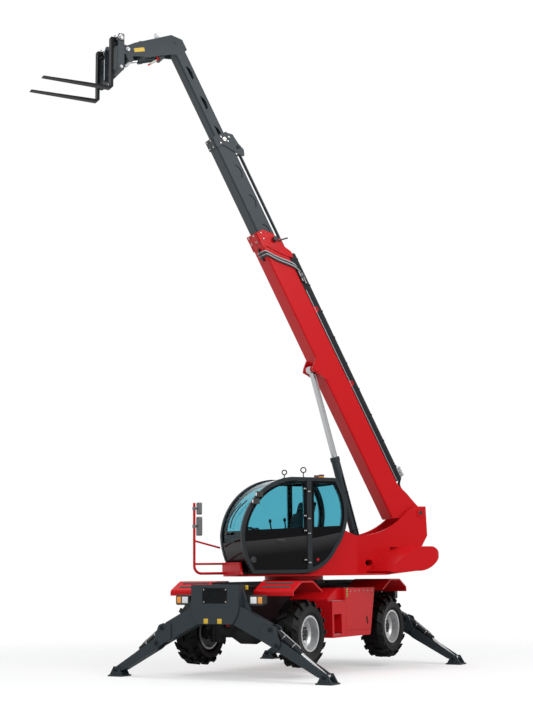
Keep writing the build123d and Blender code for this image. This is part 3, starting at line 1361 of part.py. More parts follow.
def all_pieces():
    """Every piece by node name, about the slew axis."""
    pieces = {
        "chassis_frame": chassis_frame(),
        "front_stabiliser_beam": stabiliser_beam("front"),
        "rear_stabiliser_beam": stabiliser_beam("rear"),
        "front_axle": axle(1),
        "rear_axle": axle(-1),
        "fenders": fenders(),
        "side_pod": side_pod(),
        "engine_hood": engine_hood(),
        "engine_block": engine_block(),
        "road_lamps": road_lamps(),
    }
    rubber = tyre_body()
    for corner in CORNERS:
        pieces["knuckle_" + corner] = knuckle(corner)
        pieces["tyre_" + corner] = tyre(corner, rubber)
        pieces["rim_" + corner] = rim(corner)
        pieces["leg_" + corner] = stabiliser_leg(corner)
        pieces["leg_barrel_" + corner] = leg_barrel(corner)
        pieces["leg_rod_" + corner] = leg_rod(corner)
    turret = {
        "turret_frame": turret_frame(),
        "counterweight": counterweight(),
        "cab_frame": cab_frame(),
        "cab_shell": cab_shell(),
        "cab_sides": cab_sides(),
        "cab_glass": cab_glass(),
        "cab_seat": cab_seat(),
        "cab_console": cab_console(),
        "cab_door": cab_door(),
        "door_glass": door_glass(),
        "guard_rail": guard_rail(),
        "mirrors": mirrors(),
        "service_hood": service_hood(),
        "cab_fairing": cab_fairing(),
        "turret_lamps": turret_lamps(),
    }
    boom = {
        "boom_outer": boom_outer(),
        "boom_mid": boom_mid(),
        "boom_inner": boom_inner(),
        "hose_rail": hose_rail(),
    }
    lift_length, lift_slope = lift_line()
    lift_place = turret_place() * Pos(LIFT_BASE_X, 0, LIFT_BASE_Z) * Rot(0, -lift_slope, 0)
    tilt_length, tilt_slope = tilt_line()
    base_x, base_z = tilt_base()
    tilt_place = turret_place() * Pos(base_x, 0, base_z) * Rot(0, -tilt_slope, 0)
    carriage_place = turret_place() * Pos(TILT_X, 0, TILT_Z)
    for name, piece in turret.items():
        pieces[name] = turret_place() * piece
    for name, piece in boom.items():
        pieces[name] = boom_place() * piece
    pieces["lift_barrel"] = lift_place * lift_barrel()
    pieces["lift_rod"] = lift_place * Pos(lift_length, 0, 0) * lift_rod()
    pieces["fork_carriage"] = carriage_place * fork_carriage()
    pieces["forks"] = carriage_place * forks()
    pieces["tilt_barrel"] = tilt_place * tilt_barrel()
    pieces["tilt_rod"] = tilt_place * Pos(tilt_length, 0, 0) * tilt_rod()
    return pieces


def box_middle(pieces):
    """The middle of the whole box in plan."""
    boxes = [piece.bounding_box() for piece in pieces.values()]
    x = (min(b.min.X for b in boxes) + max(b.max.X for b in boxes)) / 2
    y = (min(b.min.Y for b in boxes) + max(b.max.Y for b in boxes)) / 2
    return x, y


def main():
    """Write one file for each piece, moved to the middle of the whole box."""
    os.makedirs("parts", exist_ok=True)
    pieces = all_pieces()
    x, y = box_middle(pieces)
    for name, piece in pieces.items():
        export_step(Pos(-x, -y, 0) * piece, "parts/" + name + ".step")


if __name__ == "__main__":
    main()
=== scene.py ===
"""Looks for the rotating telehandler: finishes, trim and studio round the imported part."""

import json
import logging
import math
from dataclasses import dataclass, field
from enum import Enum
from typing import Iterable, Sequence

import bmesh
import bpy
from mathutils import Matrix, Vector
from mathutils.geometry import interpolate_bezier


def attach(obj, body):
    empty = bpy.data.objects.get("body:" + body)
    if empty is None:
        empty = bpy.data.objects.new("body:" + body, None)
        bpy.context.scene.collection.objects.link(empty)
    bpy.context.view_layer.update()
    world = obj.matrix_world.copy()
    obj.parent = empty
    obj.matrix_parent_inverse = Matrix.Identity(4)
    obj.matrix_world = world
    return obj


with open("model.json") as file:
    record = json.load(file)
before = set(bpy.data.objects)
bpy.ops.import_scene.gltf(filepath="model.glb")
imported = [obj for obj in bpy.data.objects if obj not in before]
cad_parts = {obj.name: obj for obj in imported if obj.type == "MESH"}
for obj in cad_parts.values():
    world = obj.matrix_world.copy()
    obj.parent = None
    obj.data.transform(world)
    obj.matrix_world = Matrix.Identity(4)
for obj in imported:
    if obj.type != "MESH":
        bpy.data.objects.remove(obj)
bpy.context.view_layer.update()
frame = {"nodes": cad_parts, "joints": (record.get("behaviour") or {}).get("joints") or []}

LOG = logging.getLogger("telehandler")
Pair = tuple[float, float]
Point = tuple[float, float, float]
Colour = tuple[float, float, float]
Feed = bpy.types.NodeSocket | float | tuple[float, ...]
AXIS_X: Point = (1.0, 0.0, 0.0)
AXIS_Y: Point = (0.0, 1.0, 0.0)
WAYS: Pair = (-1.0, 1.0)
# Colour sockets of the Mix node, which share their names with its other sockets.
MIX_UNDER, MIX_OVER, MIX_RESULT = 6, 7, 2
# A nut's washer and rounding as shares of the nut, and the angle past which an edge is rounded.
WASHER_WIDTH, WASHER_HEIGHT, NUT_ROUND = 1.4, 0.25, 0.12
SHARP_EDGE = 0.7
JOINTS = {joint["name"]: joint for joint in frame["joints"]}
TURRET_HEADING = math.radians(-33.0)
BOOM_RISE = math.radians(62.0)


class Side(Enum):
    """Which side of the chassis a piece is on."""

    LEFT = 1
    RIGHT = -1


class End(Enum):
    """Which end of the chassis a piece is at."""

    FRONT = 1
    REAR = -1


CORNERS: dict[str, tuple[End, Side]] = {
    "fl": (End.FRONT, Side.LEFT),
    "fr": (End.FRONT, Side.RIGHT),
    "rl": (End.REAR, Side.LEFT),
    "rr": (End.REAR, Side.RIGHT),
}


def joint_point(name: str) -> Vector:
    """The rest place of a joint in the row frame."""
    return Vector(JOINTS[name]["pos_m"])


@dataclass(frozen=True)
class Places:
    """Working frames of the machine's sub-assemblies, all in the row frame."""

    chassis: Matrix
    turret: Matrix
    boom: Matrix
    carriage: Matrix

    @classmethod
    def from_joints(cls) -> "Places":
        """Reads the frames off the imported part's own joints.

        Returns:
            The frames of chassis, turret, boom and carriage.
        """
        slew = joint_point("slew")
        chassis = Matrix.Translation((slew.x, slew.y, 0.0))
        turn = Matrix.Rotation(TURRET_HEADING, 4, "Z")
        boom = Matrix.Translation(joint_point("boom_lift")) @ turn @ Matrix.Rotation(-BOOM_RISE, 4, "Y")
        carriage = Matrix.Translation(joint_point("carriage_tilt")) @ turn
        return cls(chassis, chassis @ turn, boom, carriage)


PLACES = Places.from_joints()


@dataclass
class Wiring:
    """Adds nodes to one shader tree and joins them up."""

    tree: bpy.types.NodeTree

    def node(self, kind: str, **settings: object) -> bpy.types.Node:
        """Adds a node.

        Args:
            kind: The node's type, without the word ShaderNode.
            settings: The node's own properties, such as its operation.

        Returns:
            The node.
        """
        made = self.tree.nodes.new("ShaderNode" + kind)
        for name, value in settings.items():
            setattr(made, name, value)
        return made

    def feed(self, socket: bpy.types.NodeSocket, value: Feed) -> None:
        """Links a socket to another one, or sets it to a plain value.

        Args:
            socket: The socket to feed.
            value: Another socket, a number, a vector or a colour.
        """
        if isinstance(value, bpy.types.NodeSocket):
            self.tree.links.new(value, socket)
        else:
            socket.default_value = value

    def math(self, operation: str, *values: Feed) -> bpy.types.NodeSocket:
        """Works a value out from others.

        Args:
            operation: What is done with them.
            values: Sockets or numbers, in their order.

        Returns:
            The result's socket.
        """
        made = self.node("Math", operation=operation)
        for socket, value in zip(made.inputs, values):
            self.feed(socket, value)
        return made.outputs[0]

    def dot(self, first: Feed, second: Feed) -> bpy.types.NodeSocket:
        """The dot product of two vectors.

        Args:
            first: One vector.
            second: The other vector.

        Returns:
            The product's socket.
        """
        made = self.node("VectorMath", operation="DOT_PRODUCT")
        self.feed(made.inputs[0], first)
        self.feed(made.inputs[1], second)
        return made.outputs["Value"]

    def height(self, vector: Feed) -> bpy.types.NodeSocket:
        """The Z of a vector.

        Args:
            vector: The vector.

        Returns:
            Its Z's socket.
        """
        made = self.node("SeparateXYZ")
        self.feed(made.inputs[0], vector)
        return made.outputs["Z"]

    def ranged(self, value: Feed, span: Pair = (0.0, 1.0), onto: Pair = (0.0, 1.0)) -> bpy.types.NodeSocket:
        """Maps a value from one range onto another, held at both ends.

        Args:
            value: The value.
            span: The range it comes from.
            onto: The range it goes to.

        Returns:
            The mapped value's socket.
        """
        made = self.node("MapRange")
        for name, number in zip(("From Min", "From Max", "To Min", "To Max"), (*span, *onto)):
            made.inputs[name].default_value = number
        self.feed(made.inputs["Value"], value)
        return made.outputs["Result"]

    def noise(
        self, vector: Feed, scale: float, detail: float, roughness: float = 0.5
    ) -> bpy.types.NodeSocket:
        """Cloudy noise.

        Args:
            vector: Where it is read.
            scale: How fine it is.
            detail: How many finer layers it has.
            roughness: How strong the finer layers are.

        Returns:
            The noise's socket.
        """
        made = self.node("TexNoise")
        feeds = {"Vector": vector, "Scale": scale, "Detail": detail, "Roughness": roughness}
        for name, value in feeds.items():
            self.feed(made.inputs[name], value)
        return made.outputs["Fac"]

    def group(self, tree: bpy.types.NodeTree, **feeds: Feed) -> bpy.types.NodeOutputs:
        """Places a shared group.

        Args:
            tree: The group.
            feeds: What goes into it, by its inputs' names.

        Returns:
            What comes out of it.
        """
        made = self.node("Group", node_tree=tree)
        for name, value in feeds.items():
            self.feed(made.inputs[name], value)
        return made.outputs

    def over(self, under: Feed, colour: Colour, mask: Feed) -> bpy.types.NodeSocket:
        """Lays one colour over another by a mask.

        Args:
            under: The lower colour.
            colour: The upper colour.
            mask: Where the upper colour shows.

        Returns:
            The mixed colour's socket.
        """
        made = self.node("Mix", data_type="RGBA")
        self.feed(made.inputs["Factor"], mask)
        self.feed(made.inputs[MIX_UNDER], under)
        self.feed(made.inputs[MIX_OVER], (*colour, 1.0))
        return made.outputs[MIX_RESULT]

    def blend(self, mask: Feed, first: Feed, second: Feed) -> bpy.types.NodeSocket:
        """Mixes two shaders by a mask.

        Args:
            mask: How much of the second shader shows.
            first: One shader.
            second: The other shader.

        Returns:
            The mixed shader's socket.
        """
        made = self.node("MixShader")
        for socket, value in zip(made.inputs, (mask, first, second)):
            self.feed(socket, value)
        return made.outputs[0]


class ShaderGroups:
    """Node groups for effects that several finishes share, built once."""

    def __init__(self) -> None:
        """Builds the three groups."""
        self.tone = self._tone()
        self.edge = self._edge()
        self.dust = self._dust()

    @staticmethod
    def _group(
        name: str, inputs: dict[str, str], outputs: dict[str, str]
    ) -> tuple[Wiring, bpy.types.NodeOutputs, bpy.types.NodeInputs]:
        """Makes an empty group with named sockets.

        Args:
            name: The group's name.
            inputs: Kinds of its inputs, by their names.
            outputs: Kinds of its outputs, by their names.

        Returns:
            The group's wiring, what comes into it and what goes out of it.
        """
        tree = bpy.data.node_groups.new(name, "ShaderNodeTree")
        for way, sockets in (("INPUT", inputs), ("OUTPUT", outputs)):
            for label, kind in sockets.items():
                tree.interface.new_socket(label, in_out=way, socket_type="NodeSocket" + kind)
        into = tree.nodes.new("NodeGroupInput")
        out = tree.nodes.new("NodeGroupOutput")
        return Wiring(tree), into.outputs, out.inputs

    def _tone(self) -> bpy.types.NodeTree:
        """Soft drift of a paint's colour and gloss over the surface.

        Returns:
            A group that puts out Colour and Roughness.
        """
        wires, into, out = self._group(
            "paint_tone",
            {"Vector": "Vector", "Colour": "Color", "Roughness": "Float", "Amount": "Float"},
            {"Colour": "Color", "Roughness": "Float"},
        )
        clouds = wires.ranged(wires.noise(into["Vector"], scale=3.2, detail=5.0), onto=(-0.5, 0.5))
        drift = wires.math("MULTIPLY", clouds, into["Amount"])
        shade = wires.node("HueSaturation")
        wires.feed(shade.inputs["Color"], into["Colour"])
        wires.feed(shade.inputs["Value"], wires.math("ADD", drift, 1.0))
        wires.feed(out["Colour"], shade.outputs["Color"])
        wires.feed(out["Roughness"], wires.math("MULTIPLY_ADD", drift, 0.35, into["Roughness"]))
        return wires.tree

    def _edge(self) -> bpy.types.NodeTree:
        """Rounded edges in the shading, and a mask of where those edges are.

        Returns:
            A group that puts out Normal and Mask.
        """
        wires, into, out = self._group(
            "soft_edge",
            {"Radius": "Float", "Vector": "Vector"},
            {"Normal": "Vector", "Mask": "Float"},
        )
        bevel = wires.node("Bevel", samples=4)
        wires.feed(bevel.inputs["Radius"], into["Radius"])
        wires.feed(out["Normal"], bevel.outputs["Normal"])
        flat = wires.node("NewGeometry").outputs["Normal"]
        turn = wires.ranged(wires.dot(bevel.outputs["Normal"], flat), span=(0.985, 0.86))
        broken = wires.ranged(wires.noise(into["Vector"], scale=26.0, detail=6.0), span=(0.52, 0.68))
        wires.feed(out["Mask"], wires.math("MULTIPLY", turn, broken))
        return wires.tree

    def _dust(self) -> bpy.types.NodeTree:
        """Thin dust that lies on faces that look up and thickens near the ground.

        Returns:
            A group that puts out Mask.
        """
        wires, into, out = self._group(
            "site_dust", {"Vector": "Vector", "Amount": "Float"}, {"Mask": "Float"}
        )
        facing = wires.height(wires.node("NewGeometry").outputs["Normal"])
        upward = wires.ranged(facing, span=(-0.2, 1.0), onto=(0.25, 1.0))
        low_down = wires.ranged(wires.height(into["Vector"]), span=(1.5, 0.1), onto=(0.25, 1.0))
        clouds = wires.noise(into["Vector"], scale=7.0, detail=8.0, roughness=0.65)
        patches = wires.ranged(clouds, span=(0.38, 0.75))
        settled = wires.math("MULTIPLY", wires.math("MULTIPLY", upward, low_down), patches)
        wires.feed(out["Mask"], wires.math("MULTIPLY", settled, into["Amount"]))
        return wires.tree


GROUPS = ShaderGroups()


@dataclass(frozen=True)
class SurfaceFinish:
    """What every finish has: a name and a material."""

    name: str

    def material(self) -> bpy.types.Material:
        """The finish's material, made the first time it is asked for.

        Returns:
            The material.
        """
        found = bpy.data.materials.get(self.name)
        if found:
            return found
        made = bpy.data.materials.new(self.name)
        made.use_nodes = True
        self.lay(made, made.node_tree.nodes["Principled BSDF"].inputs)
        return made

    def lay(self, made: bpy.types.Material, shader: bpy.types.NodeInputs) -> None:
        """Lays the finish on a fresh material; each kind of finish does it in its own way.

        Args:
            made: The material.
            shader: Inputs of the material's shader.
        """
        raise NotImplementedError(self.name)


@dataclass(frozen=True)
class Finish(SurfaceFinish):
    """A surface finish with colour drift, soft edges, edge wear and dust, and on some panels a painted sheen.
    """

    colour: Colour
    roughness: float
    metallic: float = 0.0
    coat: float = 0.0
    coat_roughness: float = 0.08
    drift: float = 0.06
    edge_radius: float = 0.004
    wear: float = 0.0
    wear_colour: Colour = (0.30, 0.30, 0.31)
    dust: float = 0.0
    dust_colour: Colour = (0.30, 0.26, 0.21)
    grain: float = 0.0
    grain_scale: float = 160.0
    grain_depth: float = 0.002
    specular: float = 0.5
    # Painted sheen: a lighter band laid just under a slanted line and fading downward, standing in for a
    # reflection on glossy panels.
    sheen_band: tuple[float, float, float] | None = None
    sheen_colour: Colour = (0.045, 0.045, 0.047)
    sheen_depth: float = 0.26
    sheen_fade: Pair = (1.0, 0.04)

    def lay(self, made: bpy.types.Material, shader: bpy.types.NodeInputs) -> None:
        """Lays colour, painted sheen, wear, dust and grain over one another.

        Args:
            made: The material.
            shader: Inputs of the material's shader.
        """
        made.diffuse_color = (*self.colour, 1.0)
        shader["Metallic"].default_value = self.metallic
        shader["Specular IOR Level"].default_value = self.specular
        shader["Coat Weight"].default_value = self.coat
        shader["Coat Roughness"].default_value = self.coat_roughness
        wires = Wiring(made.node_tree)
        place = wires.node("TexCoord").outputs["Object"]
        paint = {"Colour": (*self.colour, 1.0), "Roughness": self.roughness, "Amount": self.drift}
        tone = wires.group(GROUPS.tone, Vector=place, **paint)
        edge = wires.group(GROUPS.edge, Vector=place, Radius=self.edge_radius)
        colour, normal = tone["Colour"], edge["Normal"]
        if self.sheen_band:
            # Painted sheen: lighter grey under the panel's slanted line, standing in for a reflection.
            colour = wires.over(colour, self.sheen_colour, self._sheen_mask(wires, place))
        if self.wear:
            colour = wires.over(colour, self.wear_colour, wires.math("MULTIPLY", edge["Mask"], self.wear))
        if self.dust:
            dust = wires.group(GROUPS.dust, Vector=place, Amount=self.dust)
            colour = wires.over(colour, self.dust_colour, dust["Mask"])
        if self.grain:
            normal = self._grained(wires, place, normal)
        wires.feed(shader["Base Color"], colour)
        wires.feed(shader["Roughness"], tone["Roughness"])
        wires.feed(shader["Normal"], normal)

    def _sheen_mask(self, wires: Wiring, place: bpy.types.NodeSocket) -> bpy.types.NodeSocket:
        """Mask of a painted sheen on a panel below a slanted line, strongest just under the line; it stands
        in for a glossy reflection.

        Args:
            wires: The material's wiring.
            place: Coordinates in the row frame.

        Returns:
            The mask's socket.
        """
        x, z, fall = self.sheen_band
        forward = PLACES.turret.to_3x3() @ Vector((1.0, 0.0, 0.0))
        line = PLACES.turret @ Vector((x, 0.0, z))
        crest = line.z + fall * forward.dot(Vector((line.x, line.y, 0.0)))
        level = wires.dot(place, (forward.x * fall, forward.y * fall, 1.0))
        depth = wires.math("SUBTRACT", crest, level)
        below = wires.math("GREATER_THAN", depth, 0.0)
        return wires.math("MULTIPLY", below, wires.ranged(depth, (0.0, self.sheen_depth), self.sheen_fade))

    def _grained(
        self, wires: Wiring, place: bpy.types.NodeSocket, normal: bpy.types.NodeSocket
    ) -> bpy.types.NodeSocket:
        """Adds a fine bump to the normal.

        Args:
            wires: The material's wiring.
            place: Coordinates for the grain.
            normal: The normal under the grain.

        Returns:
            The bumped normal's socket.
        """
        bump = wires.node("Bump")
        bump.inputs["Strength"].default_value = self.grain
        bump.inputs["Distance"].default_value = self.grain_depth
        wires.feed(bump.inputs["Height"], wires.noise(place, self.grain_scale, detail=4.0))
        wires.feed(bump.inputs["Normal"], normal)
        return bump.outputs["Normal"]


@dataclass(frozen=True)
class GlassFinish(SurfaceFinish):
    """Tinted safety glass."""

    tint: Colour
    roughness: float = 0.01
    bending: float = 1.12

    def lay(self, made: bpy.types.Material, shader: bpy.types.NodeInputs) -> None:
        """Sets plain values for clear tinted glass.

        Args:
            made: The material; not used here.
            shader: Inputs of the material's shader.
        """
        shader["Base Color"].default_value = (*self.tint, 1.0)
        shader["Roughness"].default_value = self.roughness
        shader["Transmission Weight"].default_value = 1.0
        shader["IOR"].default_value = self.bending


@dataclass(frozen=True)
class LensFinish(SurfaceFinish):
    """Clear or coloured lamp lens with a faint glow of its own colour."""

    colour: Colour
    glow: float = 0.12
    roughness: float = 0.08
    coat: float = 0.6
    rib_scale: float = 42.0
    rib_shade: Pair = (0.75, 1.0)

    def lay(self, made: bpy.types.Material, shader: bpy.types.NodeInputs) -> None:
        """Lays fine ribs over the lens's colour.

        Args:
            made: The material.
            shader: Inputs of the material's shader.
        """
        wires = Wiring(made.node_tree)
        shader["Roughness"].default_value = self.roughness
        shader["Coat Weight"].default_value = self.coat
        shader["Emission Color"].default_value = (*self.colour, 1.0)
        shader["Emission Strength"].default_value = self.glow
        ribs = wires.node("TexWave")
        ribs.inputs["Scale"].default_value = self.rib_scale
        wires.feed(ribs.inputs["Vector"], wires.node("TexCoord").outputs["Object"])
        shade = wires.node("HueSaturation")
        shade.inputs["Color"].default_value = (*self.colour, 1.0)
        wires.feed(shade.inputs["Value"], wires.ranged(ribs.outputs["Fac"], onto=self.rib_shade))
        wires.feed(shader["Base Color"], shade.outputs["Color"])


class Paints:
    """Every finish on the machine."""

    RED = Finish("machine_red", (0.65, 0.007, 0.011), 0.36, coat=0.05, wear=0.06, dust=0.02, specular=0.12)
    GREY = Finish("anthracite", (0.031, 0.043, 0.050), 0.42, coat=0.05, wear=0.12, dust=0.05, specular=0.2)
    DARK_GREY = Finish("dark_grey", (0.012, 0.015, 0.018), 0.45, wear=0.10, dust=0.04, specular=0.15)
    HOOP = Finish("hoop_grey", (0.020, 0.026, 0.030), 0.40, wear=0.12, dust=0.03, specular=0.2)
    BLACK_GLOSS = Finish("gloss_black", (0.003, 0.003, 0.004), 0.14, coat=0.06, drift=0.02, specular=0.08)
    # Door and quarter panels carry a painted sheen: lighter grey just under a slanted line, fading to black,
    # standing in for a reflection on the gloss.
    DOOR_PANEL = Finish(
        "door_panel", (0.002, 0.002, 0.003), 0.14, coat=0.06, drift=0.02, specular=0.06,
        sheen_band=(0.35, 2.31, 0.09),
    )
    QUARTER_PANEL = Finish(
        "quarter_panel", (0.002, 0.002, 0.003), 0.14, coat=0.06, drift=0.02, specular=0.06,
        sheen_band=(-0.39, 2.38, 0.19),
    )
    GRIP = Finish("grip_strip", (0.035, 0.036, 0.038), 0.75, grain=0.9, grain_scale=260.0, dust=0.15)
    BLACK = Finish("satin_black", (0.014, 0.014, 0.015), 0.48, grain=0.25)
    IRON = Finish("cast_iron", (0.022, 0.023, 0.025), 0.62, wear=0.2, dust=0.2, grain=0.5, specular=0.3)
    STEEL = Finish("bare_steel", (0.34, 0.34, 0.35), 0.34, metallic=1.0, drift=0.12)
    BOLT = Finish("zinc_bolt", (0.48, 0.47, 0.44), 0.36, metallic=1.0, drift=0.15, edge_radius=0.001)
    FORK = Finish("tine_steel", (0.007, 0.008, 0.009), 0.40, wear=0.2, drift=0.15, specular=0.1)
    CHROME = Finish("hard_chrome", (0.46, 0.47, 0.48), 0.14, metallic=1.0, drift=0.02)
    RIM = Finish("rim_silver", (0.58, 0.59, 0.60), 0.36, metallic=0.6, coat=0.2, wear=0.2, dust=0.2)
    RUBBER = Finish(
        "lug_rubber", (0.005, 0.005, 0.005), 0.42, drift=0.2, edge_radius=0.006, wear=0.35,
        wear_colour=(0.075, 0.066, 0.056), dust=0.04, dust_colour=(0.08, 0.07, 0.06), grain=0.3,
        specular=0.16,
    )
    HOSE = Finish("hose_rubber", (0.016, 0.016, 0.017), 0.55, grain=0.3, grain_scale=220.0)
    SLEEVE = Finish("hose_sleeve", (0.38, 0.39, 0.40), 0.45, metallic=0.5, grain=0.5, grain_scale=120.0)
    FABRIC = Finish("seat_fabric", (0.022, 0.022, 0.025), 0.9, grain=0.8, grain_scale=420.0)
    YELLOW = Finish("marker_yellow", (0.80, 0.52, 0.03), 0.42, drift=0.03)
    PAD = Finish("wear_pad", (0.60, 0.58, 0.52), 0.55)
    MIRROR = Finish("mirror_face", (0.80, 0.82, 0.84), 0.04, metallic=1.0, drift=0.0)
    MIRROR_BACK = Finish("mirror_back", (0.16, 0.165, 0.17), 0.5, grain=0.2)
    GLASS = GlassFinish("tinted_glass", (0.27, 0.61, 0.69))
    CLEAR_LENS = LensFinish("clear_lens", (0.86, 0.88, 0.90), 0.25)
    AMBER_LENS = LensFinish("amber_lens", (0.90, 0.33, 0.02), 0.25)
    RED_LENS = LensFinish("red_lens", (0.70, 0.02, 0.02), 0.2)


NODE_FINISHES: dict[str, SurfaceFinish] = {
    "chassis_frame": Paints.DARK_GREY,
    "front_stabiliser_beam": Paints.GREY,
    "rear_stabiliser_beam": Paints.GREY,
    "front_axle": Paints.IRON,
    "rear_axle": Paints.IRON,
    "fenders": Paints.RED,
    "side_pod": Paints.RED,
    "engine_hood": Paints.RED,
    "engine_block": Paints.IRON,
    "road_lamps": Paints.BLACK,
    "turret_frame": Paints.RED,
    "counterweight": Paints.RED,
    "cab_frame": Paints.HOOP,
    "cab_shell": Paints.BLACK_GLOSS,
    "cab_sides": Paints.QUARTER_PANEL,
    "cab_glass": Paints.GLASS,
    "cab_seat": Paints.FABRIC,
    "cab_console": Paints.BLACK,
    "cab_door": Paints.DOOR_PANEL,
    "door_glass": Paints.GLASS,
    "guard_rail": Paints.RED,
    "service_hood": Paints.RED,
    "cab_fairing": Paints.RED,
    "turret_lamps": Paints.BLACK,
    "mirrors": Paints.MIRROR_BACK,
    "boom_outer": Paints.RED,
    "boom_mid": Paints.GREY,
    "boom_inner": Paints.GREY,
    "hose_rail": Paints.DARK_GREY,
    "lift_barrel": Paints.GREY,
    "lift_rod": Paints.CHROME,
    "fork_carriage": Paints.GREY,
    "forks": Paints.FORK,
    "tilt_barrel": Paints.GREY,
    "tilt_rod": Paints.CHROME,
    "knuckle": Paints.IRON,
    "tyre": Paints.RUBBER,
    "rim": Paints.RIM,
    "leg_barrel": Paints.DARK_GREY,
    "leg_rod": Paints.CHROME,
    "leg": Paints.GREY,
}


def dress_nodes() -> None:
    """Gives every node of the part its finish."""
    for name, node in frame["nodes"].items():
        stem = name if name in NODE_FINISHES else name.rsplit("_", 1)[0]
        node.data.materials.clear()
        node.data.materials.append(NODE_FINISHES[stem].material())
        LOG.info("dressed %s as %s", name, NODE_FINISHES[stem].name)


def eased(points: Sequence[Point], steps: int = 7) -> list[Vector]:
    """Runs a smooth line through a few points.

    Args:
        points: The points to pass through.
        steps: Points on each stretch.

    Returns:
        The line's points, first and last included.
    """
    knots = [Vector(point) for point in points]
    ends = [2 * knots[0] - knots[1], *knots, 2 * knots[-1] - knots[-2]]
    line: list[Vector] = []
    for before, start, end, after in zip(ends, ends[1:], ends[2:], ends[3:]):
        pull = start + (end - before) / 6
        push = end - (after - start) / 6
        line += interpolate_bezier(start, pull, push, end, steps)[: steps - 1]
    return [*line, knots[-1]]


@dataclass
class Forge:
    """Gathers shapes in one working frame and hands them over as one finished piece."""

    place: Matrix
    mesh: bmesh.types.BMesh = field(default_factory=bmesh.new)

    def box(self, low: Point, high: Point, bevel: float = 0.0) -> "Forge":
        """Adds a box, its edges rounded where a bevel is given.

        Args:
            low: Lowest corner.
            high: Highest corner.
            bevel: Width of the rounding.

        Returns:
            The forge itself.
        """
        middle = (Vector(low) + Vector(high)) / 2
        matrix = Matrix.Translation(middle) @ Matrix.Diagonal((*(Vector(high) - Vector(low)), 1.0))
        made = bmesh.ops.create_cube(self.mesh, size=1.0, matrix=matrix)
        self._round(made["verts"], bevel)
        return self

    def bar(
        self,
        start: Point,
        end: Point,
        radius: float,
        tip: float | None = None,
        sides: int = 24,
        bevel: float = 0.0,
    ) -> "Forge":
        """Adds a round or many-sided bar, tapered where a tip is given.

        Args:
            start: Middle of the first end.
            end: Middle of the other end.
            radius: Radius at the first end.
            tip: Radius at the other end, if another.
            sides: Number of sides.
            bevel: Width of the rounding at both ends.

        Returns:
            The forge itself.
        """
        way = Vector(end) - Vector(start)
        turn = way.to_track_quat("Z", "Y").to_matrix().to_4x4()
        made = bmesh.ops.create_cone(
            self.mesh,
            cap_ends=True,
            segments=sides,
            radius1=radius,
            radius2=radius if tip is None else tip,
            depth=way.length,
            matrix=Matrix.Translation((Vector(start) + Vector(end)) / 2) @ turn,
        )
        self._round(made["verts"], bevel)
        return self

    def nut(self, at: Point, axis: Point, radius: float, height: float) -> "Forge":
        """Adds a six-sided nut on its washer.

        Args:
            at: Middle of the washer's foot.
            axis: The way it points.
            radius: Radius over the nut's corners.
            height: Height of nut and washer.

        Returns:
            The forge itself.
        """
        foot, away = Vector(at), Vector(axis).normalized()
        self.bar(foot, foot + away * height * WASHER_HEIGHT, radius * WASHER_WIDTH, sides=20)
        return self.bar(foot, foot + away * height, radius, sides=6, bevel=radius * NUT_ROUND)

    def nut_ring(self, y: float, circle: float, count: int, size: Pair) -> "Forge":
        """Adds nuts in a ring about the Y axis, all pointing along it.

        Args:
            y: Where their washers sit.
            circle: Radius of the ring.
            count: How many there are.
            size: Radius and height of one.

        Returns:
            The forge itself.
        """
        for step in range(count):
            angle = 2 * math.pi * step / count
            self.nut((circle * math.cos(angle), y, circle * math.sin(angle)), AXIS_Y, *size)
        return self

    def ring(self, at: Point, axis: Point, radius: float, wire: float) -> "Forge":
        """Adds a round ring of round wire.

        Args:
            at: The ring's middle.
            axis: The way through its hole.
            radius: Radius of the wire's middle line.
            wire: Radius of the wire.

        Returns:
            The forge itself.
        """
        seat = Matrix.Translation(at) @ Vector(axis).to_track_quat("Z", "Y").to_matrix().to_4x4()
        matrix = seat @ Matrix.Translation((radius, 0.0, 0.0)) @ Matrix.Rotation(math.pi / 2, 4, "X")
        verts = bmesh.ops.create_circle(self.mesh, segments=12, radius=wire, matrix=matrix)["verts"]
        edges = {edge for vert in verts for edge in vert.link_edges}
        bmesh.ops.spin(
            self.mesh,
            geom=[*verts, *edges],
            cent=at,
            axis=Vector(axis).normalized(),
            dvec=(0.0, 0.0, 0.0),
            angle=2 * math.pi,
            steps=32,
            use_merge=True,
        )
        return self

    def ball(self, at: Point, radii: Point) -> "Forge":
        """Adds a ball or a squeezed ball.

        Args:
            at: Its middle.
            radii: Its radius on each axis.

        Returns:
            The forge itself.
        """
        matrix = Matrix.Translation(at) @ Matrix.Diagonal((*radii, 1.0))
        bmesh.ops.create_uvsphere(self.mesh, u_segments=28, v_segments=16, radius=1.0, matrix=matrix)
        return self

    def hose(self, points: Sequence[Point], radius: float, sides: int = 12) -> "Forge":
        """Draws a round hose or pipe through a few points.

        Args:
            points: Points on its middle line.
            radius: Its radius.
            sides: Sides of its round.

        Returns:
            The forge itself.
        """
        line = eased(points)
        ahead = line[1] - line[0]
        seat = Matrix.Translation(line[0]) @ ahead.to_track_quat("Z", "Y").to_matrix().to_4x4()
        start = bmesh.ops.create_circle(self.mesh, cap_ends=True, segments=sides, radius=radius, matrix=seat)
        edges = list({edge for vert in start["verts"] for edge in vert.link_edges})
        for here, there, beyond in zip(line, line[1:], [*line[2:], 2 * line[-1] - line[-2]]):
            made = bmesh.ops.extrude_edge_only(self.mesh, edges=edges)["geom"]
            fresh = {part for part in made if isinstance(part, bmesh.types.BMVert)}
            edges = [part for part in made if isinstance(part, bmesh.types.BMEdge)]
            edges = [edge for edge in edges if fresh.issuperset(edge.verts)]
            bend = ahead.rotation_difference(beyond - here).to_matrix().to_4x4()
            move = Matrix.Translation(there) @ bend @ Matrix.Translation(-here)
            bmesh.ops.transform(self.mesh, matrix=move, verts=list(fresh))
            ahead = beyond - here
        bmesh.ops.contextual_create(self.mesh, geom=edges)
        return self

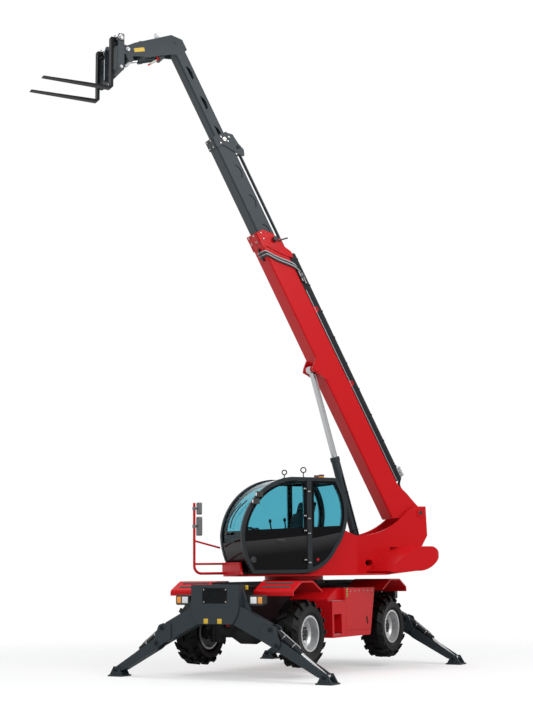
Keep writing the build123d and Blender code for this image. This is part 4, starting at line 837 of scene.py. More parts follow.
    def lattice(
        self, width: float, height: float, columns: int, rows: int, wire: float, seat: Matrix
    ) -> "Forge":
        """Adds a flat lattice of crossed wires.

        Args:
            width: Its width.
            height: Its height.
            columns: Cells across.
            rows: Cells up.
            wire: Thickness of a wire.
            seat: Where its flat sheet lies, X across and Y up.

        Returns:
            The forge itself.
        """
        matrix = seat @ Matrix.Diagonal((width / 2, height / 2, 1.0, 1.0))
        made = bmesh.ops.create_grid(self.mesh, x_segments=columns, y_segments=rows, size=1.0, matrix=matrix)
        faces = list({face for vert in made["verts"] for face in vert.link_faces})
        sides = [edge for edge in {edge for face in faces for edge in face.edges} if not edge.is_boundary]
        bmesh.ops.poke(self.mesh, faces=faces)
        bmesh.ops.dissolve_edges(self.mesh, edges=sides)
        cells = self.mesh.faces[:]
        bmesh.ops.wireframe(
            self.mesh, faces=cells, thickness=wire, use_replace=True, use_boundary=True, use_even_offset=True
        )
        return self

    def _round(self, verts: Iterable[bmesh.types.BMVert], bevel: float) -> None:
        """Rounds the sharp edges round some vertices.

        Args:
            verts: The vertices.
            bevel: Width of the rounding; none at zero.
        """
        if bevel <= 0.0:
            return
        edges = {edge for vert in verts for edge in vert.link_edges}
        sharp = [edge for edge in edges if edge.calc_face_angle(0.0) > SHARP_EDGE]
        bmesh.ops.bevel(
            self.mesh,
            geom=sharp,
            offset=bevel,
            offset_type="OFFSET",
            segments=3,
            profile=0.5,
            affect="EDGES",
            clamp_overlap=True,
            material=-1,
        )

    def piece(self, name: str, finish: SurfaceFinish, body: str, sharp_deg: float = 35.0) -> bpy.types.Object:
        """Turns what was gathered into one piece that rides on a body.

        Args:
            name: The piece's name.
            finish: Its finish.
            body: The body it rides on.
            sharp_deg: Edges sharper than this stay sharp.

        Returns:
            The piece.
        """
        bmesh.ops.recalc_face_normals(self.mesh, faces=self.mesh.faces[:])
        bmesh.ops.transform(self.mesh, matrix=self.place, verts=self.mesh.verts[:])
        data = bpy.data.meshes.new(name)
        self.mesh.to_mesh(data)
        self.mesh.free()
        data.shade_smooth()
        data.set_sharp_from_angle(angle=math.radians(sharp_deg))
        data.materials.append(finish.material())
        made = bpy.data.objects.new(name, data)
        bpy.context.scene.collection.objects.link(made)
        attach(made, body)
        LOG.info("built %s on %s with %d faces", name, body, len(data.polygons))
        return made


def turn_y(degrees: float) -> Matrix:
    """A turn about Y that dips the X axis by that angle."""
    return Matrix.Rotation(math.radians(degrees), 4, "Y")


@dataclass
class WheelTrim:
    """Hub cap, wheel nuts and valve of one wheel."""

    corner: str
    half_base: float = 1.5
    track_y: float = 0.985
    axle_height: float = 0.71
    cap_steps: tuple[Pair, ...] = ((0.024, 0.1215), (0.0815, 0.1065), (0.0975, 0.03))
    disc_y: float = 0.0265
    nut_circle: float = 0.172
    nut_count: int = 10
    nut_size: Pair = (0.016, 0.024)
    cap_face_y: float = 0.0865
    cap_circle: float = 0.07
    cap_nut_count: int = 6
    cap_nut_size: Pair = (0.008, 0.012)
    valve_foot: Point = (0.228, 0.032, 0.03)
    valve_tip: Point = (0.214, 0.062, 0.03)
    valve_radius: float = 0.006

    def build(self) -> None:
        """Makes the trim on the wheel's own body."""
        end, side = CORNERS[self.corner]
        centre = Matrix.Translation((end.value * self.half_base, side.value * self.track_y, self.axle_height))
        place = PLACES.chassis @ centre @ Matrix.Rotation(0.0 if side is Side.LEFT else math.pi, 4, "Z")
        body = "wheel_" + self.corner
        cap = Forge(place)
        for (inner, wide), (outer, narrow) in zip(self.cap_steps, self.cap_steps[1:]):
            cap.bar((0.0, inner, 0.0), (0.0, outer, 0.0), wide, narrow, sides=40)
        cap.piece("hub_cap_" + self.corner, Paints.IRON, body)
        nuts = Forge(place)
        nuts.nut_ring(self.disc_y, self.nut_circle, self.nut_count, self.nut_size)
        nuts.nut_ring(self.cap_face_y, self.cap_circle, self.cap_nut_count, self.cap_nut_size)
        nuts.bar(self.valve_foot, self.valve_tip, self.valve_radius, sides=12)
        nuts.piece("wheel_nuts_" + self.corner, Paints.BOLT, body)


@dataclass
class StabiliserTrim:
    """Grille lattice, blank plates, tow eyes, pin nuts and hoses of one cross beam."""

    end: End
    plane_x: float = 2.43
    shield_x: float = 2.545
    ear_x: float = 0.1295
    pins: tuple[Pair, ...] = ((1.155, 0.57), (1.045, 0.815))
    pin_nut: Pair = (0.024, 0.02)
    grille_width: float = 0.464
    grille_height: float = 0.234
    grille_z: float = 1.335
    grille_depth: float = 0.012
    grille_cells: tuple[int, int] = (30, 16)
    grille_wire: float = 0.0045
    lattice_off: float = 0.004
    grille_bolt_at: Pair = (0.212, 0.098)
    grille_bolt: Pair = (0.011, 0.016)
    plates_y: tuple[float, ...] = (-0.17, 0.095)
    plate_half: float = 0.042
    plate_z: Pair = (0.893, 0.972)
    plate_thick: float = 0.004
    marker: tuple[Point, Point] = ((2.33, 0.4635, 1.43), (2.352, 0.512, 1.50))
    eye_x: float = 2.47
    eye_stem_z: Pair = (0.887, 0.862)
    eye_stem_radius: float = 0.018
    eye_z: float = 0.832
    eye_radius: float = 0.028
    eye_wire: float = 0.008
    hose_route: tuple[Pair, ...] = ((0.36, 1.17), (0.52, 1.08), (0.74, 0.975), (0.93, 0.875))
    hose_radius: float = 0.011
    hose_drops: Pair = (0.0, 0.03)
    hose_back: float = 0.104
    clamps: tuple[Pair, ...] = ((0.52, 1.065), (0.80, 0.93))
    clamp_half: Pair = (0.02, 0.035)
    clamp_back: float = 0.09
    clamp_cover: float = 0.014

    def build(self) -> None:
        """Makes the trim on the chassis."""
        name = self.end.name.lower()
        self._pin_nuts(name)
        if self.end is End.FRONT:
            self._grille()
            self._front_plates()
        self._hoses(name)

    def _pin_nuts(self, name: str) -> None:
        """Nuts on the heads of the leg and cylinder pins.

        Args:
            name: The beam's end, for the piece's name.
        """
        nuts = Forge(PLACES.chassis)
        for side in Side:
            for y, z in self.pins:
                for way in WAYS:
                    x = self.end.value * self.plane_x + way * self.ear_x
                    nuts.nut((x, side.value * y, z), (way, 0.0, 0.0), *self.pin_nut)
        nuts.piece("stabiliser_nuts_" + name, Paints.DARK_GREY, "chassis")

    def _grille(self) -> None:
        """Wire lattice in the shield's recess, with its corner bolts."""
        floor_x = self.shield_x - self.grille_depth
        seat = Matrix((
            (0.0, 0.0, 1.0, floor_x + self.lattice_off),
            (1.0, 0.0, 0.0, 0.0),
            (0.0, 1.0, 0.0, self.grille_z),
            (0.0, 0.0, 0.0, 1.0),
        ))
        wires = Forge(PLACES.chassis)
        wires.lattice(self.grille_width, self.grille_height, *self.grille_cells, self.grille_wire, seat)
        wires.piece("grille_lattice", Paints.DARK_GREY, "chassis")
        bolts = Forge(PLACES.chassis)
        across, up = self.grille_bolt_at
        for y in (-across, across):
            for z in (-up, up):
                bolts.nut((floor_x, y, self.grille_z + z), AXIS_X, *self.grille_bolt)
        bolts.piece("grille_bolts", Paints.BOLT, "chassis")

    def _front_plates(self) -> None:
        """Two blank yellow plates, the tow eyes under them and the marker beside the shield."""
        plates = Forge(PLACES.chassis)
        bottom, top = self.plate_z
        for y in self.plates_y:
            low = (self.shield_x, y - self.plate_half, bottom)
            plates.box(low, (self.shield_x + self.plate_thick, y + self.plate_half, top), bevel=0.0015)
        plates.box(*self.marker, bevel=0.004)
        plates.piece("blank_plates", Paints.YELLOW, "chassis")
        eyes = Forge(PLACES.chassis)
        for y in self.plates_y:
            root, tip = ((self.eye_x, y, z) for z in self.eye_stem_z)
            eyes.bar(root, tip, self.eye_stem_radius)
            eyes.ring((self.eye_x, y, self.eye_z), AXIS_X, self.eye_radius, self.eye_wire)
        eyes.piece("tow_eyes", Paints.DARK_GREY, "chassis")

    def _hoses(self, name: str) -> None:
        """Two pressure hoses down the back of each arm, with their clamps.

        Args:
            name: The beam's end, for the piece's name.
        """
        hoses, clamps = Forge(PLACES.chassis), Forge(PLACES.chassis)
        back = self.end.value * (self.plane_x - self.hose_back)
        foot = self.end.value * (self.plane_x - self.clamp_back)
        near, far = sorted((foot, back - self.end.value * self.clamp_cover))
        wide, tall = self.clamp_half
        for side in Side:
            for drop in self.hose_drops:
                hoses.hose([(back, side.value * y, z - drop) for y, z in self.hose_route], self.hose_radius)
            for clamp_y, z in self.clamps:
                y = side.value * clamp_y
                clamps.box((near, y - wide, z - tall), (far, y + wide, z + tall), bevel=0.004)
        hoses.piece("arm_hoses_" + name, Paints.HOSE, "chassis")
        clamps.piece("arm_hose_clamps_" + name, Paints.STEEL, "chassis")


@dataclass
class LegTrim:
    """Foot nuts of one leg, and the pipe and bands on its cylinder."""

    corner: str
    plane_x: float = 2.43
    foot_y: float = 2.0
    foot_z: float = 0.115
    foot_nut: Pair = (0.022, 0.018)
    base_y: float = 1.045
    base_z: float = 0.815
    stub_end: float = 0.145
    barrel_radius: float = 0.048
    pipe_start: Point = (0.10, 0.0, 0.04)
    pipe_stop: Point = (0.56, 0.0, 0.05)
    pipe_along: tuple[float, ...] = (0.13, 0.34, 0.52)
    pipe_off: float = 0.014
    pipe_radius: float = 0.009
    bands_at: Pair = (0.22, 0.44)
    band_width: float = 0.022
    band_wire: float = 0.008
    band_sunk: float = 0.001
    clip_half: float = 0.016
    clip_sunk: float = 0.004
    clip_cover: float = 0.012

    def build(self) -> None:
        """Makes the trim on the leg's and the cylinder's bodies."""
        end, side = CORNERS[self.corner]
        nuts = Forge(PLACES.chassis)
        for way in WAYS:
            at = (end.value * self.plane_x + way * self.stub_end, side.value * self.foot_y, self.foot_z)
            nuts.nut(at, (way, 0.0, 0.0), *self.foot_nut)
        nuts.piece("foot_nuts_" + self.corner, Paints.DARK_GREY, "stand_" + self.corner)
        dip = math.degrees(math.atan2(self.base_z - self.foot_z, self.foot_y - self.base_y))
        base = Matrix.Translation((end.value * self.plane_x, side.value * self.base_y, self.base_z))
        outward = Matrix.Rotation(side.value * math.pi / 2, 4, "Z")
        place = PLACES.chassis @ base @ outward @ turn_y(dip)
        above = self.barrel_radius + self.pipe_off
        pipe = Forge(place)
        straight = ((x, 0.0, above) for x in self.pipe_along)
        pipe.hose([self.pipe_start, *straight, self.pipe_stop], self.pipe_radius)
        pipe.piece("leg_pipe_" + self.corner, Paints.STEEL, "stand_cylinder_" + self.corner)
        bands = Forge(place)
        for x in self.bands_at:
            middle = (x + self.band_width / 2, 0.0, 0.0)
            bands.ring(middle, AXIS_X, self.barrel_radius - self.band_sunk, self.band_wire)
            low = (x, -self.clip_half, self.barrel_radius - self.clip_sunk)
            bands.box(low, (x + self.band_width, self.clip_half, above + self.clip_cover), bevel=0.003)
        bands.piece("leg_bands_" + self.corner, Paints.STEEL, "stand_cylinder_" + self.corner)


@dataclass
class FenderTrim:
    """Dark grip strips across the slope of the mudguards."""

    slope_top: Pair = (1.805, 1.56)
    slope_deg: float = 28.18
    strips: tuple[Pair, ...] = ((0.055, 0.105), (0.175, 0.225))
    inner_y: float = 0.55
    outer_y: float = 1.09
    grip_sunk: float = 0.004
    grip_proud: float = 0.005

    def build(self) -> None:
        """Makes the strips of all four mudguards."""
        top_x, top_z = self.slope_top
        seat = Matrix.Translation((top_x, 0.0, top_z)) @ turn_y(self.slope_deg)
        for corner, (end, side) in CORNERS.items():
            turn = Matrix.Rotation(0.0 if end is End.FRONT else math.pi, 4, "Z")
            grips = Forge(PLACES.chassis @ turn @ seat)
            near = side.value * end.value
            low, high = sorted((near * self.inner_y, near * self.outer_y))
            for start, stop in self.strips:
                grips.box((start, low, -self.grip_sunk), (stop, high, self.grip_proud), bevel=0.003)
            grips.piece("fender_grips_" + corner, Paints.GRIP, "chassis")


@dataclass
class RoadLampTrim:
    """Lenses of the head and tail lamps."""

    face_x: float = 2.42
    middle_z: float = 1.265
    half_height: float = 0.052
    inner: Pair = (0.610, 0.722)
    outer: Pair = (0.748, 0.826)
    lens_sunk: float = 0.004
    lens_proud: float = 0.009

    def build(self) -> None:
        """Makes the lenses at all four corners."""
        bottom, top = self.middle_z - self.half_height, self.middle_z + self.half_height
        for end in End:
            main_lens = Paints.CLEAR_LENS if end is End.FRONT else Paints.RED_LENS
            depths = (self.face_x - self.lens_sunk, self.face_x + self.lens_proud)
            near, far = sorted(end.value * depth for depth in depths)
            lenses = ((self.inner, main_lens, "main"), (self.outer, Paints.AMBER_LENS, "turn"))
            for span, finish, label in lenses:
                lens = Forge(PLACES.chassis)
                for side in Side:
                    low, high = sorted(side.value * y for y in span)
                    lens.box((near, low, bottom), (far, high, top), bevel=0.006)
                lens.piece("lens_%s_%s" % (label, end.name.lower()), finish, "chassis")


@dataclass(frozen=True)
class TreadRows:
    """Raised bars across one step, counted from its back."""

    span: Pair
    level: float
    count: int
    depth: float
    pitch: float
    width: float
    height: float


@dataclass
class PodTrim:
    """Door handle, step treads, bolts and the blank striped strip of the side pod."""

    face_y: float = 1.15
    handle: Pair = (-0.57, 0.86)
    handle_deg: float = 75.0
    handle_half: float = 0.07
    handle_radius: float = 0.010
    handle_sunk: float = 0.006
    step: TreadRows = TreadRows(
        span=(0.375, 0.635), level=0.65, count=5, depth=0.165, pitch=0.034, width=0.018, height=0.012
    )
    ledge: TreadRows = TreadRows(
        span=(0.26, 0.68), level=1.21, count=2, depth=0.078, pitch=0.038, width=0.022, height=0.010
    )
    tread_sunk: float = 0.001
    bolts_from: Pair = (-0.76, 1.37)
    bolt_count: int = 6
    bolt_pitch: float = 0.16
    bolt_size: Pair = (0.010, 0.010)
    strip_x: Pair = (0.135, 0.19)
    strip_z: Pair = (1.255, 1.405)
    strip_thick: float = 0.002
    stripe_count: int = 4
    stripe_depths: Pair = (0.001, 0.003)

    def build(self) -> None:
        """Makes the trim on the chassis."""
        self._handle()
        self._treads()
        self._bolts()
        self._strip()

    def _handle(self) -> None:
        """Slanted bar handle of the pod's door."""
        slant = math.radians(self.handle_deg)
        reach = Vector((math.cos(slant), 0.0, math.sin(slant))) * self.handle_half
        middle = Vector((self.handle[0], self.face_y - self.handle_sunk, self.handle[1]))
        grip = Forge(PLACES.chassis)
        grip.bar(middle - reach, middle + reach, self.handle_radius, bevel=0.003)
        grip.piece("pod_handle", Paints.BLACK, "chassis")

    def _treads(self) -> None:
        """Raised bars on the step and on the ledge above it."""
        treads = Forge(PLACES.chassis)
        for rows in (self.step, self.ledge):
            start, stop = rows.span
            for row in range(rows.count):
                y = self.face_y - rows.depth + row * rows.pitch
                low = (start, y, rows.level - self.tread_sunk)
                treads.box(low, (stop, y + rows.width, rows.level + rows.height), bevel=0.003)
        treads.piece("step_treads", Paints.STEEL, "chassis")

    def _bolts(self) -> None:
        """Row of bolts along the pod's top edge."""
        bolts = Forge(PLACES.chassis)
        x, z = self.bolts_from
        for count in range(self.bolt_count):
            bolts.nut((x + self.bolt_pitch * count, self.face_y, z), AXIS_Y, *self.bolt_size)
        bolts.piece("pod_bolts", Paints.BOLT, "chassis")

    def _strip(self) -> None:
        """Blank yellow strip and the black stripes on it."""
        (start, stop), (bottom, top) = self.strip_x, self.strip_z
        strip = Forge(PLACES.chassis)
        strip.box((start, self.face_y, bottom), (stop, self.face_y + self.strip_thick, top))
        strip.piece("strip_ground", Paints.YELLOW, "chassis")
        bars = Forge(PLACES.chassis)
        pitch = (top - bottom) / self.stripe_count
        near, far = (self.face_y + depth for depth in self.stripe_depths)
        for count in range(self.stripe_count):
            z = bottom + pitch * count
            bars.box((start, near, z), (stop, far, z + pitch / 2))
        bars.piece("strip_bars", Paints.BLACK, "chassis")


@dataclass
class HingeBolts:
    """Bolts of the door's four hinges, on one of their leaves."""

    leaf: str
    body: str
    columns: Pair
    rise: float
    levels: tuple[float, ...] = (1.88, 2.37, 2.62, 3.08)
    face_y: float = 1.2005
    bolt_size: Pair = (0.008, 0.008)

    def build(self) -> None:
        """Makes the bolts on the leaf's body."""
        bolts = Forge(PLACES.turret)
        for level in self.levels:
            for x in self.columns:
                bolts.nut((x, self.face_y, level + self.rise), AXIS_Y, *self.bolt_size)
        bolts.piece("hinge_bolts_" + self.leaf, Paints.BOLT, self.body)


@dataclass
class CabTrim:
    """Lifting eyes, beacon lenses, lamp lenses, wiper and small fittings of the cab."""

    roof_z: float = 3.3
    middle_y: float = 0.745
    upper_bow: Point = (0.5099, 2.2528, 1.053)
    eyes: tuple[Point, ...] = ((0.535, 3.405, 0.040), (0.165, 3.455, 0.045))
    eye_turn: Point = (0.45, 0.85, 0.12)
    eye_wire: float = 0.010
    eye_stem: float = 0.009
    eye_foot: float = 0.03
    eye_foot_half: float = 0.012
    beacons: tuple[Pair, ...] = ((-0.15, 0.64), (-0.15, 0.82))
    beacon_rise: Pair = (0.022, 0.077)
    beacon_radii: Pair = (0.0495, 0.046)
    work_lamps: tuple[Pair, ...] = ((1.19, 2.95), (1.255, 2.83))
    glass_x: Pair = (0.106, 0.113)
    glass_y: Pair = (1.204, 1.246)
    glass_rise: Pair = (0.018, 0.072)
    wiper_pivot: Pair = (0.66, 2.35)
    wiper_pivot_ends: Pair = (-0.012, 0.05)
    wiper_pivot_radius: float = 0.022
    arm_bends: tuple[Pair, ...] = ((0.65, 2.53), (0.72, 2.70), (0.86, 2.84))
    arm_off: float = 0.032
    arm_radius: float = 0.008
    blade_route: tuple[Pair, ...] = ((0.71, 2.44), (0.72, 2.60), (0.80, 2.76), (0.95, 2.90))
    blade_off: float = 0.006
    blade_radius: float = 0.010
    button_at: Pair = (0.13, 1.905)
    button_y: Pair = (1.17, 1.187)
    button_radius: float = 0.024

    def build(self) -> None:
        """Makes the trim on the turret."""
        self._lifting_eyes()
        self._lenses()
        self._wiper()
        HingeBolts("post", "turret", columns=(0.280, 0.306), rise=-0.0225).build()
        self._button()

    def screen(self, y: float, z: float, off: float) -> Point:
        """A point just off the bowed front screen.

        Args:
            y: Its place across the cab.
            z: Its height.
            off: Its distance from the glass.

        Returns:
            The point in the turret's frame.
        """
        x, middle_z, radius = self.upper_bow
        rise = math.asin((z - middle_z) / radius)
        return (x + (radius + off) * math.cos(rise), y, middle_z + (radius + off) * math.sin(rise))

    def _lifting_eyes(self) -> None:
        """Two ring bolts on the roof."""
        eyes = Forge(PLACES.turret)
        y = self.middle_y
        for x, z, radius in self.eyes:
            foot, top = self.roof_z - self.eye_foot_half, self.roof_z + self.eye_foot_half
            eyes.bar((x, y, foot), (x, y, top), self.eye_foot)
            eyes.bar((x, y, self.roof_z), (x, y, z - radius), self.eye_stem)
            eyes.ring((x, y, z), self.eye_turn, radius, self.eye_wire)
        eyes.piece("lifting_eyes", Paints.DARK_GREY, "turret")

    def _lenses(self) -> None:
        """Red and amber beacon caps and the work lamps' glasses."""
        foot, top = (self.roof_z + rise for rise in self.beacon_rise)
        lenses = (("red", Paints.RED_LENS), ("amber", Paints.AMBER_LENS))
        for (x, y), (name, finish) in zip(self.beacons, lenses):
            cap = Forge(PLACES.turret)
            cap.bar((x, y, foot), (x, y, top), *self.beacon_radii, sides=36, bevel=0.008)
            cap.piece("beacon_" + name, finish, "turret")
        glasses = Forge(PLACES.turret)
        for x, z in self.work_lamps:
            corners = zip(self.glass_x, self.glass_y, self.glass_rise)
            low, high = ((x + ahead, y, z + rise) for ahead, y, rise in corners)
            glasses.box(low, high, bevel=0.003)
        glasses.piece("work_lamp_glasses", Paints.CLEAR_LENS, "turret")

    def _wiper(self) -> None:
        """Wiper arm and blade on the front screen."""
        arm = Forge(PLACES.turret)
        route = (self.wiper_pivot, *self.arm_bends)
        arm.hose([self.screen(y, z, self.arm_off) for y, z in route], self.arm_radius)
        foot, top = (self.screen(*self.wiper_pivot, off) for off in self.wiper_pivot_ends)
        arm.bar(foot, top, self.wiper_pivot_radius)
        arm.piece("wiper_arm", Paints.BLACK, "turret")
        blade = Forge(PLACES.turret)
        blade.hose([self.screen(y, z, self.blade_off) for y, z in self.blade_route], self.blade_radius)
        blade.piece("wiper_blade", Paints.BLACK, "turret")

    def _button(self) -> None:
        """Round red button low on the rear quarter."""
        x, z = self.button_at
        button = Forge(PLACES.turret)
        inner, outer = self.button_y
        button.bar((x, inner, z), (x, outer, z), self.button_radius, bevel=0.004)
        button.piece("quarter_button", Paints.RED, "turret")


@dataclass
class SeatTrim:
    """Cushions, arm rests and levers of the operator's seat."""

    middle_y: float = 0.745
    half_width: float = 0.215
    seat_x: Pair = (0.35, 0.79)
    seat_z: Pair = (2.185, 2.275)
    back_foot: Point = (0.365, 0.0, 2.235)
    back_lean: float = 19.0
    back_thick: float = 0.07
    back_rise: Pair = (0.02, 0.48)
    head_half: float = 0.13
    head_thick: float = 0.065
    head_rise: Pair = (0.52, 0.68)
    arm_off: float = 0.285
    rest_x: Pair = (0.30, 0.70)
    rest_half: float = 0.045
    rest_z: Pair = (2.37, 2.44)
    stay_x: Pair = (0.34, 0.40)
    stay_half: float = 0.03
    stay_z: Pair = (2.10, 2.38)
    lever_foot: Pair = (0.66, 2.43)
    lever_top: Pair = (0.68, 2.55)
    lever_radius: float = 0.012
    knob_at: Pair = (0.682, 2.575)
    knob_radii: Point = (0.026, 0.026, 0.038)

    def build(self) -> None:
        """Makes the seat's dress on the turret."""
        low, high = self.middle_y - self.half_width, self.middle_y + self.half_width
        (rear, front), (bottom, top) = self.seat_x, self.seat_z
        cushion = Forge(PLACES.turret)
        cushion.box((rear, low, bottom), (front, high, top), bevel=0.035)
        self._soft(cushion.piece("seat_cushion", Paints.FABRIC, "turret", 80.0))
        lean = Matrix.Translation(self.back_foot) @ turn_y(-self.back_lean)
        back = Forge(PLACES.turret @ lean)
        back.box((0.0, low, self.back_rise[0]), (self.back_thick, high, self.back_rise[1]), bevel=0.03)
        self._soft(back.piece("back_cushion", Paints.FABRIC, "turret", 80.0))
        head = Forge(PLACES.turret @ lean)
        low, high = self.middle_y - self.head_half, self.middle_y + self.head_half
        head.box((0.0, low, self.head_rise[0]), (self.head_thick, high, self.head_rise[1]), bevel=0.03)
        self._soft(head.piece("head_cushion", Paints.FABRIC, "turret", 80.0))
        self._arms()

    def _arms(self) -> None:
        """Arm rests on their stays, each with a lever."""
        arms = Forge(PLACES.turret)
        for y in (self.middle_y - self.arm_off, self.middle_y + self.arm_off):
            for (near, far), half, (bottom, top), rounding in (
                (self.rest_x, self.rest_half, self.rest_z, 0.015),
                (self.stay_x, self.stay_half, self.stay_z, 0.008),
            ):
                arms.box((near, y - half, bottom), (far, y + half, top), bevel=rounding)
            foot, top, knob = ((x, y, z) for x, z in (self.lever_foot, self.lever_top, self.knob_at))
            arms.bar(foot, top, self.lever_radius)
            arms.ball(knob, self.knob_radii)
        arms.piece("arm_rests", Paints.BLACK, "turret")

    @staticmethod
    def _soft(pad: bpy.types.Object) -> bpy.types.Object:
        """Smooths a pad's form.

        Args:
            pad: The pad.

        Returns:
            The same pad.
        """
        round_off = pad.modifiers.new("round_off", "SUBSURF")
        round_off.levels = 2
        round_off.render_levels = 2
        return pad


@dataclass
class DoorTrim:
    """Handle, lock and hinge bolts of the cab door."""

    face_y: float = 1.179
    sunk: float = 0.002
    proud: float = 0.008
    handle: Pair = (0.82, 2.22)
    handle_half: Pair = (0.075, 0.032)
    pull_route: tuple[Pair, ...] = ((-0.06, 0.004), (-0.04, 0.026), (0.04, 0.026), (0.06, 0.004))
    pull_radius: float = 0.008
    lock: Pair = (1.34, 1.91)
    lock_radius: float = 0.055
    lock_ring: float = 0.044
    lock_wire: float = 0.006

    def build(self) -> None:
        """Makes the trim on the door."""
        inner, outer = self.face_y - self.sunk, self.face_y + self.proud
        x, z = self.handle
        wide, tall = self.handle_half
        pull = Forge(PLACES.turret)
        pull.box((x - wide, inner, z - tall), (x + wide, outer, z + tall), bevel=0.004)
        pull.hose([(x + along, self.face_y + off, z) for along, off in self.pull_route], self.pull_radius)
        pull.piece("door_handle", Paints.BLACK, "door")
        x, z = self.lock
        lock = Forge(PLACES.turret)
        lock.bar((x, inner, z), (x, outer, z), self.lock_radius, bevel=0.003, sides=40)
        lock.ring((x, outer, z), AXIS_Y, self.lock_ring, self.lock_wire)
        lock.piece("door_lock", Paints.BLACK, "door")
        HingeBolts("door", "door", columns=(0.358, 0.386), rise=0.0235).build()


@dataclass
class MirrorTrim:
    """Silvered faces in the mirror housings."""

    face_x: float = 1.9385
    middle_y: float = 0.34
    faces: tuple[Point, ...] = ((2.785, 0.205, 0.110), (2.485, 0.320, 0.130))
    border: float = 0.010
    silver_sunk: float = 0.004
    silver_proud: float = 0.002

    def build(self) -> None:
        """Makes both faces on the turret."""
        silver = Forge(PLACES.turret)
        for z, height, width in self.faces:
            half, rise = width / 2 - self.border, height / 2 - self.border
            low = (self.face_x - self.silver_sunk, self.middle_y - half, z - rise)
            silver.box(low, (self.face_x + self.silver_proud, self.middle_y + half, z + rise), bevel=0.002)
        silver.piece("mirror_faces", Paints.MIRROR, "turret")


